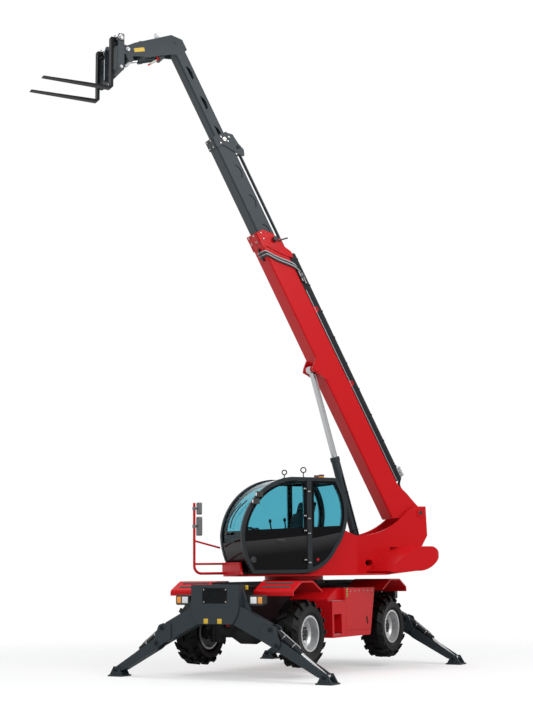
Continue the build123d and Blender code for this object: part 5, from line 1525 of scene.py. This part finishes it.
@dataclass
class BaseSectionTrim:
    """Hose wrap, lamp, pad bolts, hose lines and root fittings of the boom's base section."""

    half_width: float = 0.2
    under: float = -0.55
    tube_under: float = -0.538
    side_y: float = 0.212
    plate_y: float = 0.218
    pads_at: Pair = (5.925, 5.805)
    pad_bolt_y: float = 0.10
    pad_bolt: Pair = (0.016, 0.022)
    side_bolt_n: float = -0.46
    side_bolt: Pair = (0.014, 0.018)
    lamp_at: Pair = (5.71, -0.262)
    lamp_y: Pair = (-0.002, 0.075)
    lamp_radius: float = 0.048
    lever_route: tuple[Pair, Pair] = ((5.66, -0.20), (5.63, -0.01))
    lever_radius: float = 0.014
    hose_count: int = 4
    hose_radius: float = 0.013
    hose_pitch: float = 0.032
    hose_gap: float = 0.004
    hose_fan: float = 0.018
    strap_cover: float = 0.018
    under_strap: tuple[Pair, Pair] = ((5.43, 5.68), (0.02, 0.055))
    side_strap: tuple[Pair, Pair] = ((4.86, 4.90), (-0.115, -0.012))
    rail_from: float = 0.74
    rail_to: float = 5.32
    line_to: float = 4.62
    line_at: Pair = (0.195, -0.108)
    line_radius: float = 0.009
    rail_hoses_y: Pair = (0.118, 0.150)
    rail_hose_n: float = 0.022
    rail_hose_radius: float = 0.012
    clip_count: int = 9
    clip_from: float = 0.95
    clip_pitch: float = 0.53
    clip: tuple[Point, Point] = ((0.0, 0.098, 0.004), (0.03, 0.170, 0.038))
    root_hoses_y: tuple[float, ...] = (0.105, 0.132, 0.156)
    root_route: tuple[Pair, ...] = (
        (0.80, 0.030), (0.72, 0.012), (0.64, -0.062), (0.54, -0.074), (0.41, -0.026),
    )
    root_end: tuple[Point, ...] = ((0.27, -0.018, 0.022), (0.18, -0.025, 0.052), (0.10, -0.03, 0.050))
    valve_block: tuple[Point, Point] = ((0.735, 0.088, 0.009), (0.925, 0.172, 0.088))
    valves_at: tuple[float, ...] = (0.765, 0.83, 0.895)
    valve_nut_n: float = 0.050
    valve_nut: Pair = (0.018, 0.022)
    valve_cap_y: float = 0.13
    valve_cap_top: float = 0.112
    valve_cap_radius: float = 0.020
    couplings_y: tuple[float, ...] = (0.085, 0.112, 0.136)
    coupling_ends: tuple[Point, Point] = ((0.155, -0.009, 0.0535), (0.104, -0.011, 0.0500))
    coupling_radius: float = 0.017
    bracket: tuple[Point, Point] = ((0.058, -0.171, 0.030), (0.106, 0.171, 0.070))
    pivot_cap_y: Pair = (0.288, 0.297)
    pivot_cap_radius: float = 0.036

    def build(self) -> None:
        """Makes the trim on the base section."""
        self._pad_bolts()
        self._lamp()
        self._wrap()
        self._lines()
        self._root_hoses()
        self._root_fittings()

    def _pad_bolts(self) -> None:
        """Bolts of the slide pads, under the collar and on its sides."""
        bolts = Forge(PLACES.boom)
        for along in self.pads_at:
            for y in (-self.pad_bolt_y, self.pad_bolt_y):
                bolts.nut((along, y, self.under), (0.0, 0.0, -1.0), *self.pad_bolt)
            for way in WAYS:
                bolts.nut((along, way * self.side_y, self.side_bolt_n), (0.0, way, 0.0), *self.side_bolt)
        bolts.piece("base_pad_bolts", Paints.BOLT, "boom_base")

    def _lamp(self) -> None:
        """Round black work lamp and its lever on the left end plate."""
        lamp = Forge(PLACES.boom)
        along, n = self.lamp_at
        back, face = ((along, self.plate_y + off, n) for off in self.lamp_y)
        lamp.bar(back, face, self.lamp_radius, bevel=0.008)
        lever_y = self.plate_y + self.lever_radius
        foot, tip = ((along, lever_y, n) for along, n in self.lever_route)
        lamp.bar(foot, tip, self.lever_radius, bevel=0.003)
        lamp.piece("boom_lamp", Paints.BLACK, "boom_base")

    def _wrap(self) -> None:
        """Sleeved hoses that come from under the section, up its left side and into the rail."""
        sleeved, bare = Forge(PLACES.boom), Forge(PLACES.boom)
        out = self.half_width + self.hose_radius + self.hose_gap
        below = self.tube_under - self.hose_radius - self.hose_gap
        for count in range(self.hose_count):
            lag, fan = count * self.hose_pitch, count * self.hose_fan
            route = (
                (5.60, -0.06, below),
                (5.60, 0.10, below),
                (5.60, out - 0.012, below + 0.006),
                (5.575, out, below + 0.045),
                (5.42, out, -0.38),
                (5.22, out, -0.17),
                (5.13, out, -0.105),
                (5.00, out - 0.004, fan - 0.09),
                (4.80, out - 0.006, fan - 0.09),
            )
            hoses = bare if count % 2 else sleeved
            hoses.hose([(along - lag, y, n) for along, y, n in route], self.hose_radius)
        sleeved.piece("wrap_sleeves", Paints.SLEEVE, "boom_base")
        bare.piece("wrap_hoses", Paints.HOSE, "boom_base")
        straps = Forge(PLACES.boom)
        (start, stop), (near, far) = self.under_strap
        straps.box((start, near, below - self.strap_cover), (stop, far, self.tube_under + 0.002), bevel=0.006)
        (start, stop), (low, high) = self.side_strap
        straps.box((start, self.half_width - 0.012, low), (stop, out + self.strap_cover, high), bevel=0.006)
        straps.piece("hose_straps", Paints.BLACK, "boom_base")

    def _lines(self) -> None:
        """Steel line and hoses along the rail."""
        line = Forge(PLACES.boom)
        line.bar((self.rail_from, *self.line_at), (self.line_to, *self.line_at), self.line_radius, sides=16)
        line.piece("rail_line", Paints.STEEL, "boom_base")
        hoses = Forge(PLACES.boom)
        for y in self.rail_hoses_y:
            lower, upper = ((along, y, self.rail_hose_n) for along in (self.rail_from, self.rail_to))
            hoses.bar(lower, upper, self.rail_hose_radius, sides=16)
        hoses.piece("rail_hoses", Paints.HOSE, "boom_base")
        clips = Forge(PLACES.boom)
        for count in range(self.clip_count):
            along = Vector((self.clip_from + self.clip_pitch * count, 0.0, 0.0))
            low, high = (along + Vector(corner) for corner in self.clip)
            clips.box(low, high, bevel=0.006)
        clips.piece("rail_clips", Paints.DARK_GREY, "boom_base")

    def _root_hoses(self) -> None:
        """Hoses along the root plates, down to the couplings."""
        hoses = Forge(PLACES.boom)
        for y in self.root_hoses_y:
            upper = ((along, y, n) for along, n in self.root_route)
            lower = ((along, y + off, n) for along, off, n in self.root_end)
            hoses.hose([*upper, *lower], self.rail_hose_radius)
        hoses.piece("root_hoses", Paints.HOSE, "boom_base")

    def _root_fittings(self) -> None:
        """Valve block at the rail's lower end, couplings, their bracket and the pivot pin's caps."""
        block = Forge(PLACES.boom)
        block.box(*self.valve_block, bevel=0.008)
        face_y, top_n = self.valve_block[1][1:]
        for along in self.valves_at:
            block.nut((along, face_y, self.valve_nut_n), AXIS_Y, *self.valve_nut)
            foot, tip = ((along, self.valve_cap_y, n) for n in (top_n, self.valve_cap_top))
            block.bar(foot, tip, self.valve_cap_radius, sides=6)
        for y in self.couplings_y:
            upper, lower = ((along, y + off, n) for along, off, n in self.coupling_ends)
            block.bar(upper, lower, self.coupling_radius, sides=6)
        block.piece("root_couplings", Paints.STEEL, "boom_base")
        bracket = Forge(PLACES.boom)
        bracket.box(*self.bracket, bevel=0.003)
        bracket.piece("root_bracket", Paints.RED, "boom_base")
        caps = Forge(PLACES.boom)
        for way in WAYS:
            inner, outer = ((0.0, way * y, 0.0) for y in self.pivot_cap_y)
            caps.bar(inner, outer, self.pivot_cap_radius, bevel=0.003)
        caps.piece("pivot_caps", Paints.BLACK, "boom_base")


@dataclass
class MiddleSectionTrim:
    """Pad bolts, end-plate bolts and the steel line of the middle section."""

    under: float = -0.496
    plate_y: float = 0.174
    pads_at: Pair = (7.815, 7.69)
    pad_bolt_y: float = 0.08
    pad_bolt: Pair = (0.014, 0.02)
    small_bolts: tuple[Pair, ...] = ((7.70, -0.38), (7.678, -0.233), (7.739, -0.177), (7.80, -0.325))
    small_bolt: Pair = (0.011, 0.012)
    big_bolt_at: Pair = (7.735, -0.276)
    big_bolt: Pair = (0.026, 0.02)
    cap_at: Pair = (7.505, -0.098)
    cap_radius: float = 0.03
    cap_ends: Pair = (-0.002, 0.016)
    line_span: Pair = (5.34, 7.40)
    line_n: float = -0.062
    line_radius: float = 0.009

    def build(self) -> None:
        """Makes the trim on the middle section."""
        bolts = Forge(PLACES.boom)
        for along in self.pads_at:
            for y in (-self.pad_bolt_y, self.pad_bolt_y):
                bolts.nut((along, y, self.under), (0.0, 0.0, -1.0), *self.pad_bolt)
        for way in WAYS:
            places = [(at, self.small_bolt) for at in self.small_bolts] + [(self.big_bolt_at, self.big_bolt)]
            for (along, n), size in places:
                bolts.nut((along, way * self.plate_y, n), (0.0, way, 0.0), *size)
        bolts.piece("middle_pad_bolts", Paints.BOLT, "boom_middle")
        caps = Forge(PLACES.boom)
        along, n = self.cap_at
        for way in WAYS:
            inner, outer = ((along, way * (self.plate_y + off), n) for off in self.cap_ends)
            caps.bar(inner, outer, self.cap_radius, bevel=0.004)
        caps.piece("middle_pin_caps", Paints.DARK_GREY, "boom_middle")
        line = Forge(PLACES.boom)
        lower, upper = ((along, 0.0, self.line_n) for along in self.line_span)
        line.bar(lower, upper, self.line_radius, sides=16)
        line.piece("middle_line", Paints.STEEL, "boom_middle")


@dataclass
class HeadTrim:
    """Blank plate, lifting shackle, pin caps and small ram of the boom head."""

    side_y: float = 0.125
    plate_at: Pair = (9.78, -1.035)
    plate_half: Pair = (0.10, 0.036)
    plate_slope: Pair = (0.05, 0.2)
    plate_ends: Pair = (-0.001, 0.0015)
    cap_at: Pair = (9.684, -0.30)
    cap_ends: Pair = (-0.002, 0.012)
    cap_radius: float = 0.024
    shackle_in: float = 0.018
    shackle_legs_n: Pair = (-0.565, -0.625)
    shackle_leg: Pair = (9.845, 9.905)
    shackle_leg_radius: float = 0.012
    shackle_pin: float = 9.895
    shackle_pin_n: Pair = (-0.555, -0.635)
    shackle_pin_radius: float = 0.014
    shackle_ring_at: Pair = (9.93, -0.595)
    shackle_ring: float = 0.022
    shackle_wire: float = 0.008
    ram_top: Point = (9.505, 0.085, -0.80)
    ram_foot: Point = (9.485, 0.085, -0.95)
    ram_radius: float = 0.019
    ram_eye_top: Point = (9.512, 0.085, -0.75)
    ram_eye_foot: Point = (9.478, 0.085, -0.99)
    ram_eye_radius: float = 0.014
    ram_lug: tuple[Point, Point] = ((9.50, 0.075, -0.77), (9.56, 0.095, -0.74))

    def build(self) -> None:
        """Makes the trim on the boom tip."""
        self._plate()
        self._pin_caps()
        self._shackle()
        self._ram()

    def _plate(self) -> None:
        """Blank yellow plate on the head's left side."""
        run, rise = self.plate_slope
        along, n = self.plate_at
        seat = Matrix.Translation((along, 0.0, n)) @ turn_y(math.degrees(math.atan2(rise, run)))
        plate = Forge(PLACES.boom @ seat)
        length, height = self.plate_half
        inner, outer = (self.side_y + off for off in self.plate_ends)
        plate.box((-length, inner, -height), (length, outer, height))
        plate.piece("head_plate", Paints.YELLOW, "boom_tip")

    def _pin_caps(self) -> None:
        """Caps of the pin through the head."""
        caps = Forge(PLACES.boom)
        along, n = self.cap_at
        for way in WAYS:
            inner, outer = ((along, way * (self.side_y + off), n) for off in self.cap_ends)
            caps.bar(inner, outer, self.cap_radius, bevel=0.004)
        caps.piece("head_pin_caps", Paints.BLACK, "boom_tip")

    def _shackle(self) -> None:
        """Lifting shackle on the head's top edge."""
        shackle = Forge(PLACES.boom)
        y = self.side_y - self.shackle_in
        for n in self.shackle_legs_n:
            foot, tip = ((along, y, n) for along in self.shackle_leg)
            shackle.bar(foot, tip, self.shackle_leg_radius)
        start, stop = ((self.shackle_pin, y, n) for n in self.shackle_pin_n)
        shackle.bar(start, stop, self.shackle_pin_radius)
        along, n = self.shackle_ring_at
        shackle.ring((along, y, n), AXIS_Y, self.shackle_ring, self.shackle_wire)
        shackle.piece("head_shackle", Paints.STEEL, "boom_tip")

    def _ram(self) -> None:
        """Small pale ram between the head's plates, with its red ends."""
        ram = Forge(PLACES.boom)
        ram.bar(self.ram_top, self.ram_foot, self.ram_radius, bevel=0.004)
        ram.piece("head_ram", Paints.PAD, "boom_tip")
        ends = Forge(PLACES.boom)
        ends.bar(self.ram_eye_top, self.ram_top, self.ram_eye_radius)
        ends.bar(self.ram_foot, self.ram_eye_foot, self.ram_eye_radius)
        ends.box(*self.ram_lug, bevel=0.003)
        ends.piece("head_ram_ends", Paints.RED, "boom_tip")


@dataclass
class CarriageTrim:
    """Locking rings, shaft nuts and fork collars of the carriage."""

    shaft: Pair = (0.27, 0.03)
    shaft_radius: float = 0.035
    shaft_nut: Pair = (0.034, 0.028)
    end_y: float = 0.56
    lock_off: float = 0.012
    lock_turn: Pair = (0.1, 0.2)
    lock_radius: float = 0.050
    lock_wire: float = 0.007
    foot_bolt_at: Pair = (0.26, -0.50)
    foot_bolt: Pair = (0.020, 0.02)
    pivot_y: float = 0.168
    pivot_nut: Pair = (0.026, 0.02)
    fork_y: float = 0.37
    fork_half: float = 0.06
    collar_gap: float = 0.004
    collar_length: float = 0.03
    collar_wall: float = 0.010
    latch_ahead: float = 0.05
    latch_rise: Pair = (0.038, 0.085)
    latch_radius: float = 0.014
    knob_rise: float = 0.09
    knob_radius: float = 0.018

    def build(self) -> None:
        """Makes the trim on the carriage."""
        steel = Forge(PLACES.carriage)
        for way in WAYS:
            self._side_fittings(steel, way)
            self._fork_fittings(steel, way)
        steel.piece("carriage_fittings", Paints.STEEL, "carriage")

    def _side_fittings(self, steel: Forge, way: float) -> None:
        """Shaft nut, locking ring, foot bolt and pivot nut of one side.

        Args:
            steel: Where they are gathered.
            way: 1 on the left, -1 on the right.
        """
        x, z = self.shaft
        outward = (0.0, way, 0.0)
        steel.nut((x, way * self.end_y, z), outward, *self.shaft_nut)
        lean, rise = self.lock_turn
        hung = (x, way * (self.end_y + self.lock_off), z)
        steel.ring(hung, (lean, way, rise), self.lock_radius, self.lock_wire)
        bolt_x, bolt_z = self.foot_bolt_at
        steel.nut((bolt_x, way * self.end_y, bolt_z), outward, *self.foot_bolt)
        steel.nut((0.0, way * self.pivot_y, 0.0), outward, *self.pivot_nut)

    def _fork_fittings(self, steel: Forge, way: float) -> None:
        """Collars on both sides of one fork, and the latch on it.

        Args:
            steel: Where they are gathered.
            way: 1 on the left, -1 on the right.
        """
        x, z = self.shaft
        y = way * self.fork_y
        for side in WAYS:
            start = y + side * (self.fork_half + self.collar_gap)
            stop = start + side * self.collar_length
            steel.bar((x, start, z), (x, stop, z), self.shaft_radius + self.collar_wall, bevel=0.003)
        x += self.latch_ahead
        foot, top = ((x, y, z + rise) for rise in self.latch_rise)
        steel.bar(foot, top, self.latch_radius)
        steel.ball((x, y, z + self.knob_rise), (self.knob_radius, self.knob_radius, self.knob_radius))


@dataclass
class LiftTrim:
    """Pipe, bands and valve on the lift cylinder, and the line beside its rod."""

    base: Pair = (-1.4, 1.85)
    eye: Pair = (3.27, -0.62)
    barrel_radius: float = 0.08
    pipe_off: float = 0.014
    pipe_start: Point = (0.42, 0.06, 0.03)
    pipe_stop: Point = (1.62, 0.06, 0.02)
    pipe_along: tuple[float, ...] = (0.48, 1.0, 1.55)
    pipe_n: float = 0.02
    pipe_radius: float = 0.010
    valve_at: float = 1.66
    valve_ends: Pair = (-0.004, 0.03)
    valve_radius: float = 0.036
    bands_at: tuple[float, ...] = (0.615, 1.315, 1.925)
    band_sunk: float = 0.002
    band_wire: float = 0.010
    line_back: Pair = (1.62, 0.10)
    line_y: float = 0.103
    line_radius: float = 0.009
    stay_back: float = 0.11
    stay_y: Pair = (0.06, 0.112)
    stay_radius: float = 0.012

    def build(self) -> None:
        """Makes the trim on the cylinder's and the rod's bodies."""
        base = PLACES.turret @ Vector((self.base[0], 0.0, self.base[1]))
        eye = PLACES.boom @ Vector((self.eye[0], 0.0, self.eye[1]))
        along = (eye - base).normalized()
        across = (PLACES.turret.to_3x3() @ Vector(AXIS_Y)).normalized()
        axes = Matrix((along, across, along.cross(across))).transposed().to_4x4()
        place = Matrix.Translation(base) @ axes
        self._on_barrel(place)
        self._on_rod(place, (eye - base).length)

    def _on_barrel(self, place: Matrix) -> None:
        """Pipe, bands and valve of the cylinder.

        Args:
            place: The cylinder's frame, X along it from its base pin.
        """
        side = self.barrel_radius + self.pipe_off
        pipe = Forge(place)
        straight = ((x, side, self.pipe_n) for x in self.pipe_along)
        pipe.hose([self.pipe_start, *straight, self.pipe_stop], self.pipe_radius)
        pipe.piece("lift_pipe", Paints.DARK_GREY, "lift_cylinder")
        valve = Forge(place)
        foot, top = ((self.valve_at, -self.barrel_radius - off, 0.0) for off in self.valve_ends)
        valve.bar(foot, top, self.valve_radius, bevel=0.005)
        for x in self.bands_at:
            valve.ring((x, 0.0, 0.0), AXIS_X, self.barrel_radius - self.band_sunk, self.band_wire)
        valve.piece("lift_bands", Paints.DARK_GREY, "lift_cylinder")

    def _on_rod(self, place: Matrix, reach: float) -> None:
        """Steel line beside the rod, on its stay.

        Args:
            place: The cylinder's frame, X along it from its base pin.
            reach: Length from the base pin to the rod's eye.
        """
        line = Forge(place)
        lower, upper = ((reach - back, self.line_y, 0.0) for back in self.line_back)
        line.bar(lower, upper, self.line_radius, sides=16)
        inner, outer = ((reach - self.stay_back, y, 0.0) for y in self.stay_y)
        line.bar(inner, outer, self.stay_radius, sides=16)
        line.piece("lift_rod_line", Paints.STEEL, "lift_piston")


@dataclass
class Studio:
    """Pale floor, white surround, soft lamps and the camera."""

    eye: Point = (21.0, 12.29, 1.76)
    yaw: float = 3.68962604
    pitch: float = 0.156556034
    roll: float = -0.00907571211
    focal_px: float = 1351.0
    long_side_px: float = 711.0
    sensor: float = 36.0
    view_depth: float = 400.0
    surround_light: float = 0.48
    surround_tint: Colour = (0.96, 0.98, 1.0)
    floor_radius: float = 60.0
    floor_grey: float = 0.60
    floor_lift: float = 0.46
    floor_fade: Pair = (4.5, 13.0)

    def build(self) -> None:
        """Makes the surround, floor, lamps and camera."""
        bpy.context.scene.view_settings.view_transform = "Standard"
        self._surround()
        self._floor()
        self._lamps()
        self._camera()

    def _surround(self) -> None:
        """World that is white to the eye and in reflections, and a plain soft light otherwise."""
        world = bpy.data.worlds.new("studio_surround")
        bpy.context.scene.world = world
        world.use_nodes = True
        wires = Wiring(world.node_tree)
        seen = world.node_tree.nodes["Background"]
        seen.inputs["Color"].default_value = (1.0, 1.0, 1.0, 1.0)
        seen.inputs["Strength"].default_value = 1.0
        soft = wires.node("Background")
        soft.inputs["Color"].default_value = (*self.surround_tint, 1.0)
        soft.inputs["Strength"].default_value = self.surround_light
        path = wires.node("LightPath").outputs
        straight = wires.math("MAXIMUM", path["Is Camera Ray"], path["Is Transmission Ray"])
        either = wires.math("MAXIMUM", straight, path["Is Glossy Ray"])
        surface = world.node_tree.nodes["World Output"].inputs["Surface"]
        wires.feed(surface, wires.blend(either, soft.outputs[0], seen.outputs[0]))

    def _floor(self) -> None:
        """Round pale floor that fades into the white surround at its rim."""
        sheet = bmesh.new()
        bmesh.ops.create_circle(sheet, cap_ends=True, segments=96, radius=self.floor_radius)
        mesh = bpy.data.meshes.new("studio_floor")
        sheet.to_mesh(mesh)
        sheet.free()
        mesh.materials.append(self._floor_paint())
        floor = bpy.data.objects.new("studio_floor", mesh)
        bpy.context.scene.collection.objects.link(floor)

    def _floor_paint(self) -> bpy.types.Material:
        """Matt grey that the camera sees lifted to white, clear toward the rim.

        Returns:
            The floor's material.
        """
        paint = bpy.data.materials.new("studio_floor")
        paint.use_nodes = True
        wires = Wiring(paint.node_tree)
        shader = paint.node_tree.nodes["Principled BSDF"]
        shader.inputs["Base Color"].default_value = (self.floor_grey, self.floor_grey, self.floor_grey, 1.0)
        shader.inputs["Roughness"].default_value = 1.0
        shader.inputs["Specular IOR Level"].default_value = 0.0
        shader.inputs["Emission Color"].default_value = (1.0, 1.0, 1.0, 1.0)
        seen = wires.node("LightPath").outputs["Is Camera Ray"]
        wires.feed(shader.inputs["Emission Strength"], wires.math("MULTIPLY", seen, self.floor_lift))
        clear = wires.node("BsdfTransparent").outputs[0]
        reach = wires.node("VectorMath", operation="LENGTH")
        wires.feed(reach.inputs[0], wires.node("TexCoord").outputs["Object"])
        fade = wires.node("MapRange", interpolation_type="SMOOTHSTEP")
        fade.inputs["From Min"].default_value, fade.inputs["From Max"].default_value = self.floor_fade
        wires.feed(fade.inputs["Value"], reach.outputs["Value"])
        surface = paint.node_tree.nodes["Material Output"].inputs["Surface"]
        wires.feed(surface, wires.blend(fade.outputs["Result"], shader.outputs[0], clear))
        return paint

    def _lamps(self) -> None:
        """Three large soft lamps."""
        self._lamp("key_lamp", (6.0, 18.0, 14.0), (0.0, 0.0, 3.0), 9.0, 1600.0)
        self._lamp("fill_lamp", (20.0, -4.0, 9.0), (0.0, 0.0, 4.0), 9.0, 600.0)
        self._lamp("top_lamp", (1.0, 1.0, 22.0), (0.0, 0.0, 0.0), 12.0, 1250.0)

    @staticmethod
    def _lamp(name: str, place: Point, aim: Point, size: float, power: float) -> None:
        """One square area lamp.

        Args:
            name: The lamp's name.
            place: Where it stands.
            aim: Where it points.
            size: Its edge in metres.
            power: Its power in watts.
        """
        data = bpy.data.lights.new(name, "AREA")
        data.size = size
        data.energy = power
        lamp = bpy.data.objects.new(name, data)
        lamp.location = place
        lamp.rotation_euler = (Vector(aim) - Vector(place)).to_track_quat("-Z", "Y").to_euler()
        bpy.context.scene.collection.objects.link(lamp)

    def _camera(self) -> None:
        """Camera at the photograph's place, turned and tilted as it was."""
        data = bpy.data.cameras.new("photo_camera")
        data.sensor_width = self.sensor
        data.lens = self.focal_px * self.sensor / self.long_side_px
        data.clip_end = self.view_depth
        camera = bpy.data.objects.new("photo_camera", data)
        level = math.cos(self.pitch)
        ahead = Vector((math.cos(self.yaw) * level, math.sin(self.yaw) * level, math.sin(self.pitch)))
        flat_right = Vector((math.sin(self.yaw), -math.cos(self.yaw), 0.0))
        flat_up = flat_right.cross(ahead)
        right = math.cos(self.roll) * flat_right + math.sin(self.roll) * flat_up
        up = math.cos(self.roll) * flat_up - math.sin(self.roll) * flat_right
        turn = Matrix((right, up, -ahead)).transposed().to_4x4()
        camera.matrix_world = PLACES.chassis @ Matrix.Translation(self.eye) @ turn
        bpy.context.scene.collection.objects.link(camera)
        bpy.context.scene.camera = camera


def main() -> None:
    """Dresses the part, adds its trim and sets the studio."""
    logging.basicConfig(level=logging.INFO, format="%(name)s: %(message)s")
    dress_nodes()
    for corner in CORNERS:
        WheelTrim(corner).build()
        LegTrim(corner).build()
    for end in End:
        StabiliserTrim(end).build()
    for trim in (FenderTrim(), RoadLampTrim(), PodTrim(), CabTrim(), SeatTrim(), DoorTrim(), MirrorTrim()):
        trim.build()
    for trim in (BaseSectionTrim(), MiddleSectionTrim(), HeadTrim(), CarriageTrim(), LiftTrim()):
        trim.build()
    Studio().build()


if __name__ == "__main__":
    main()
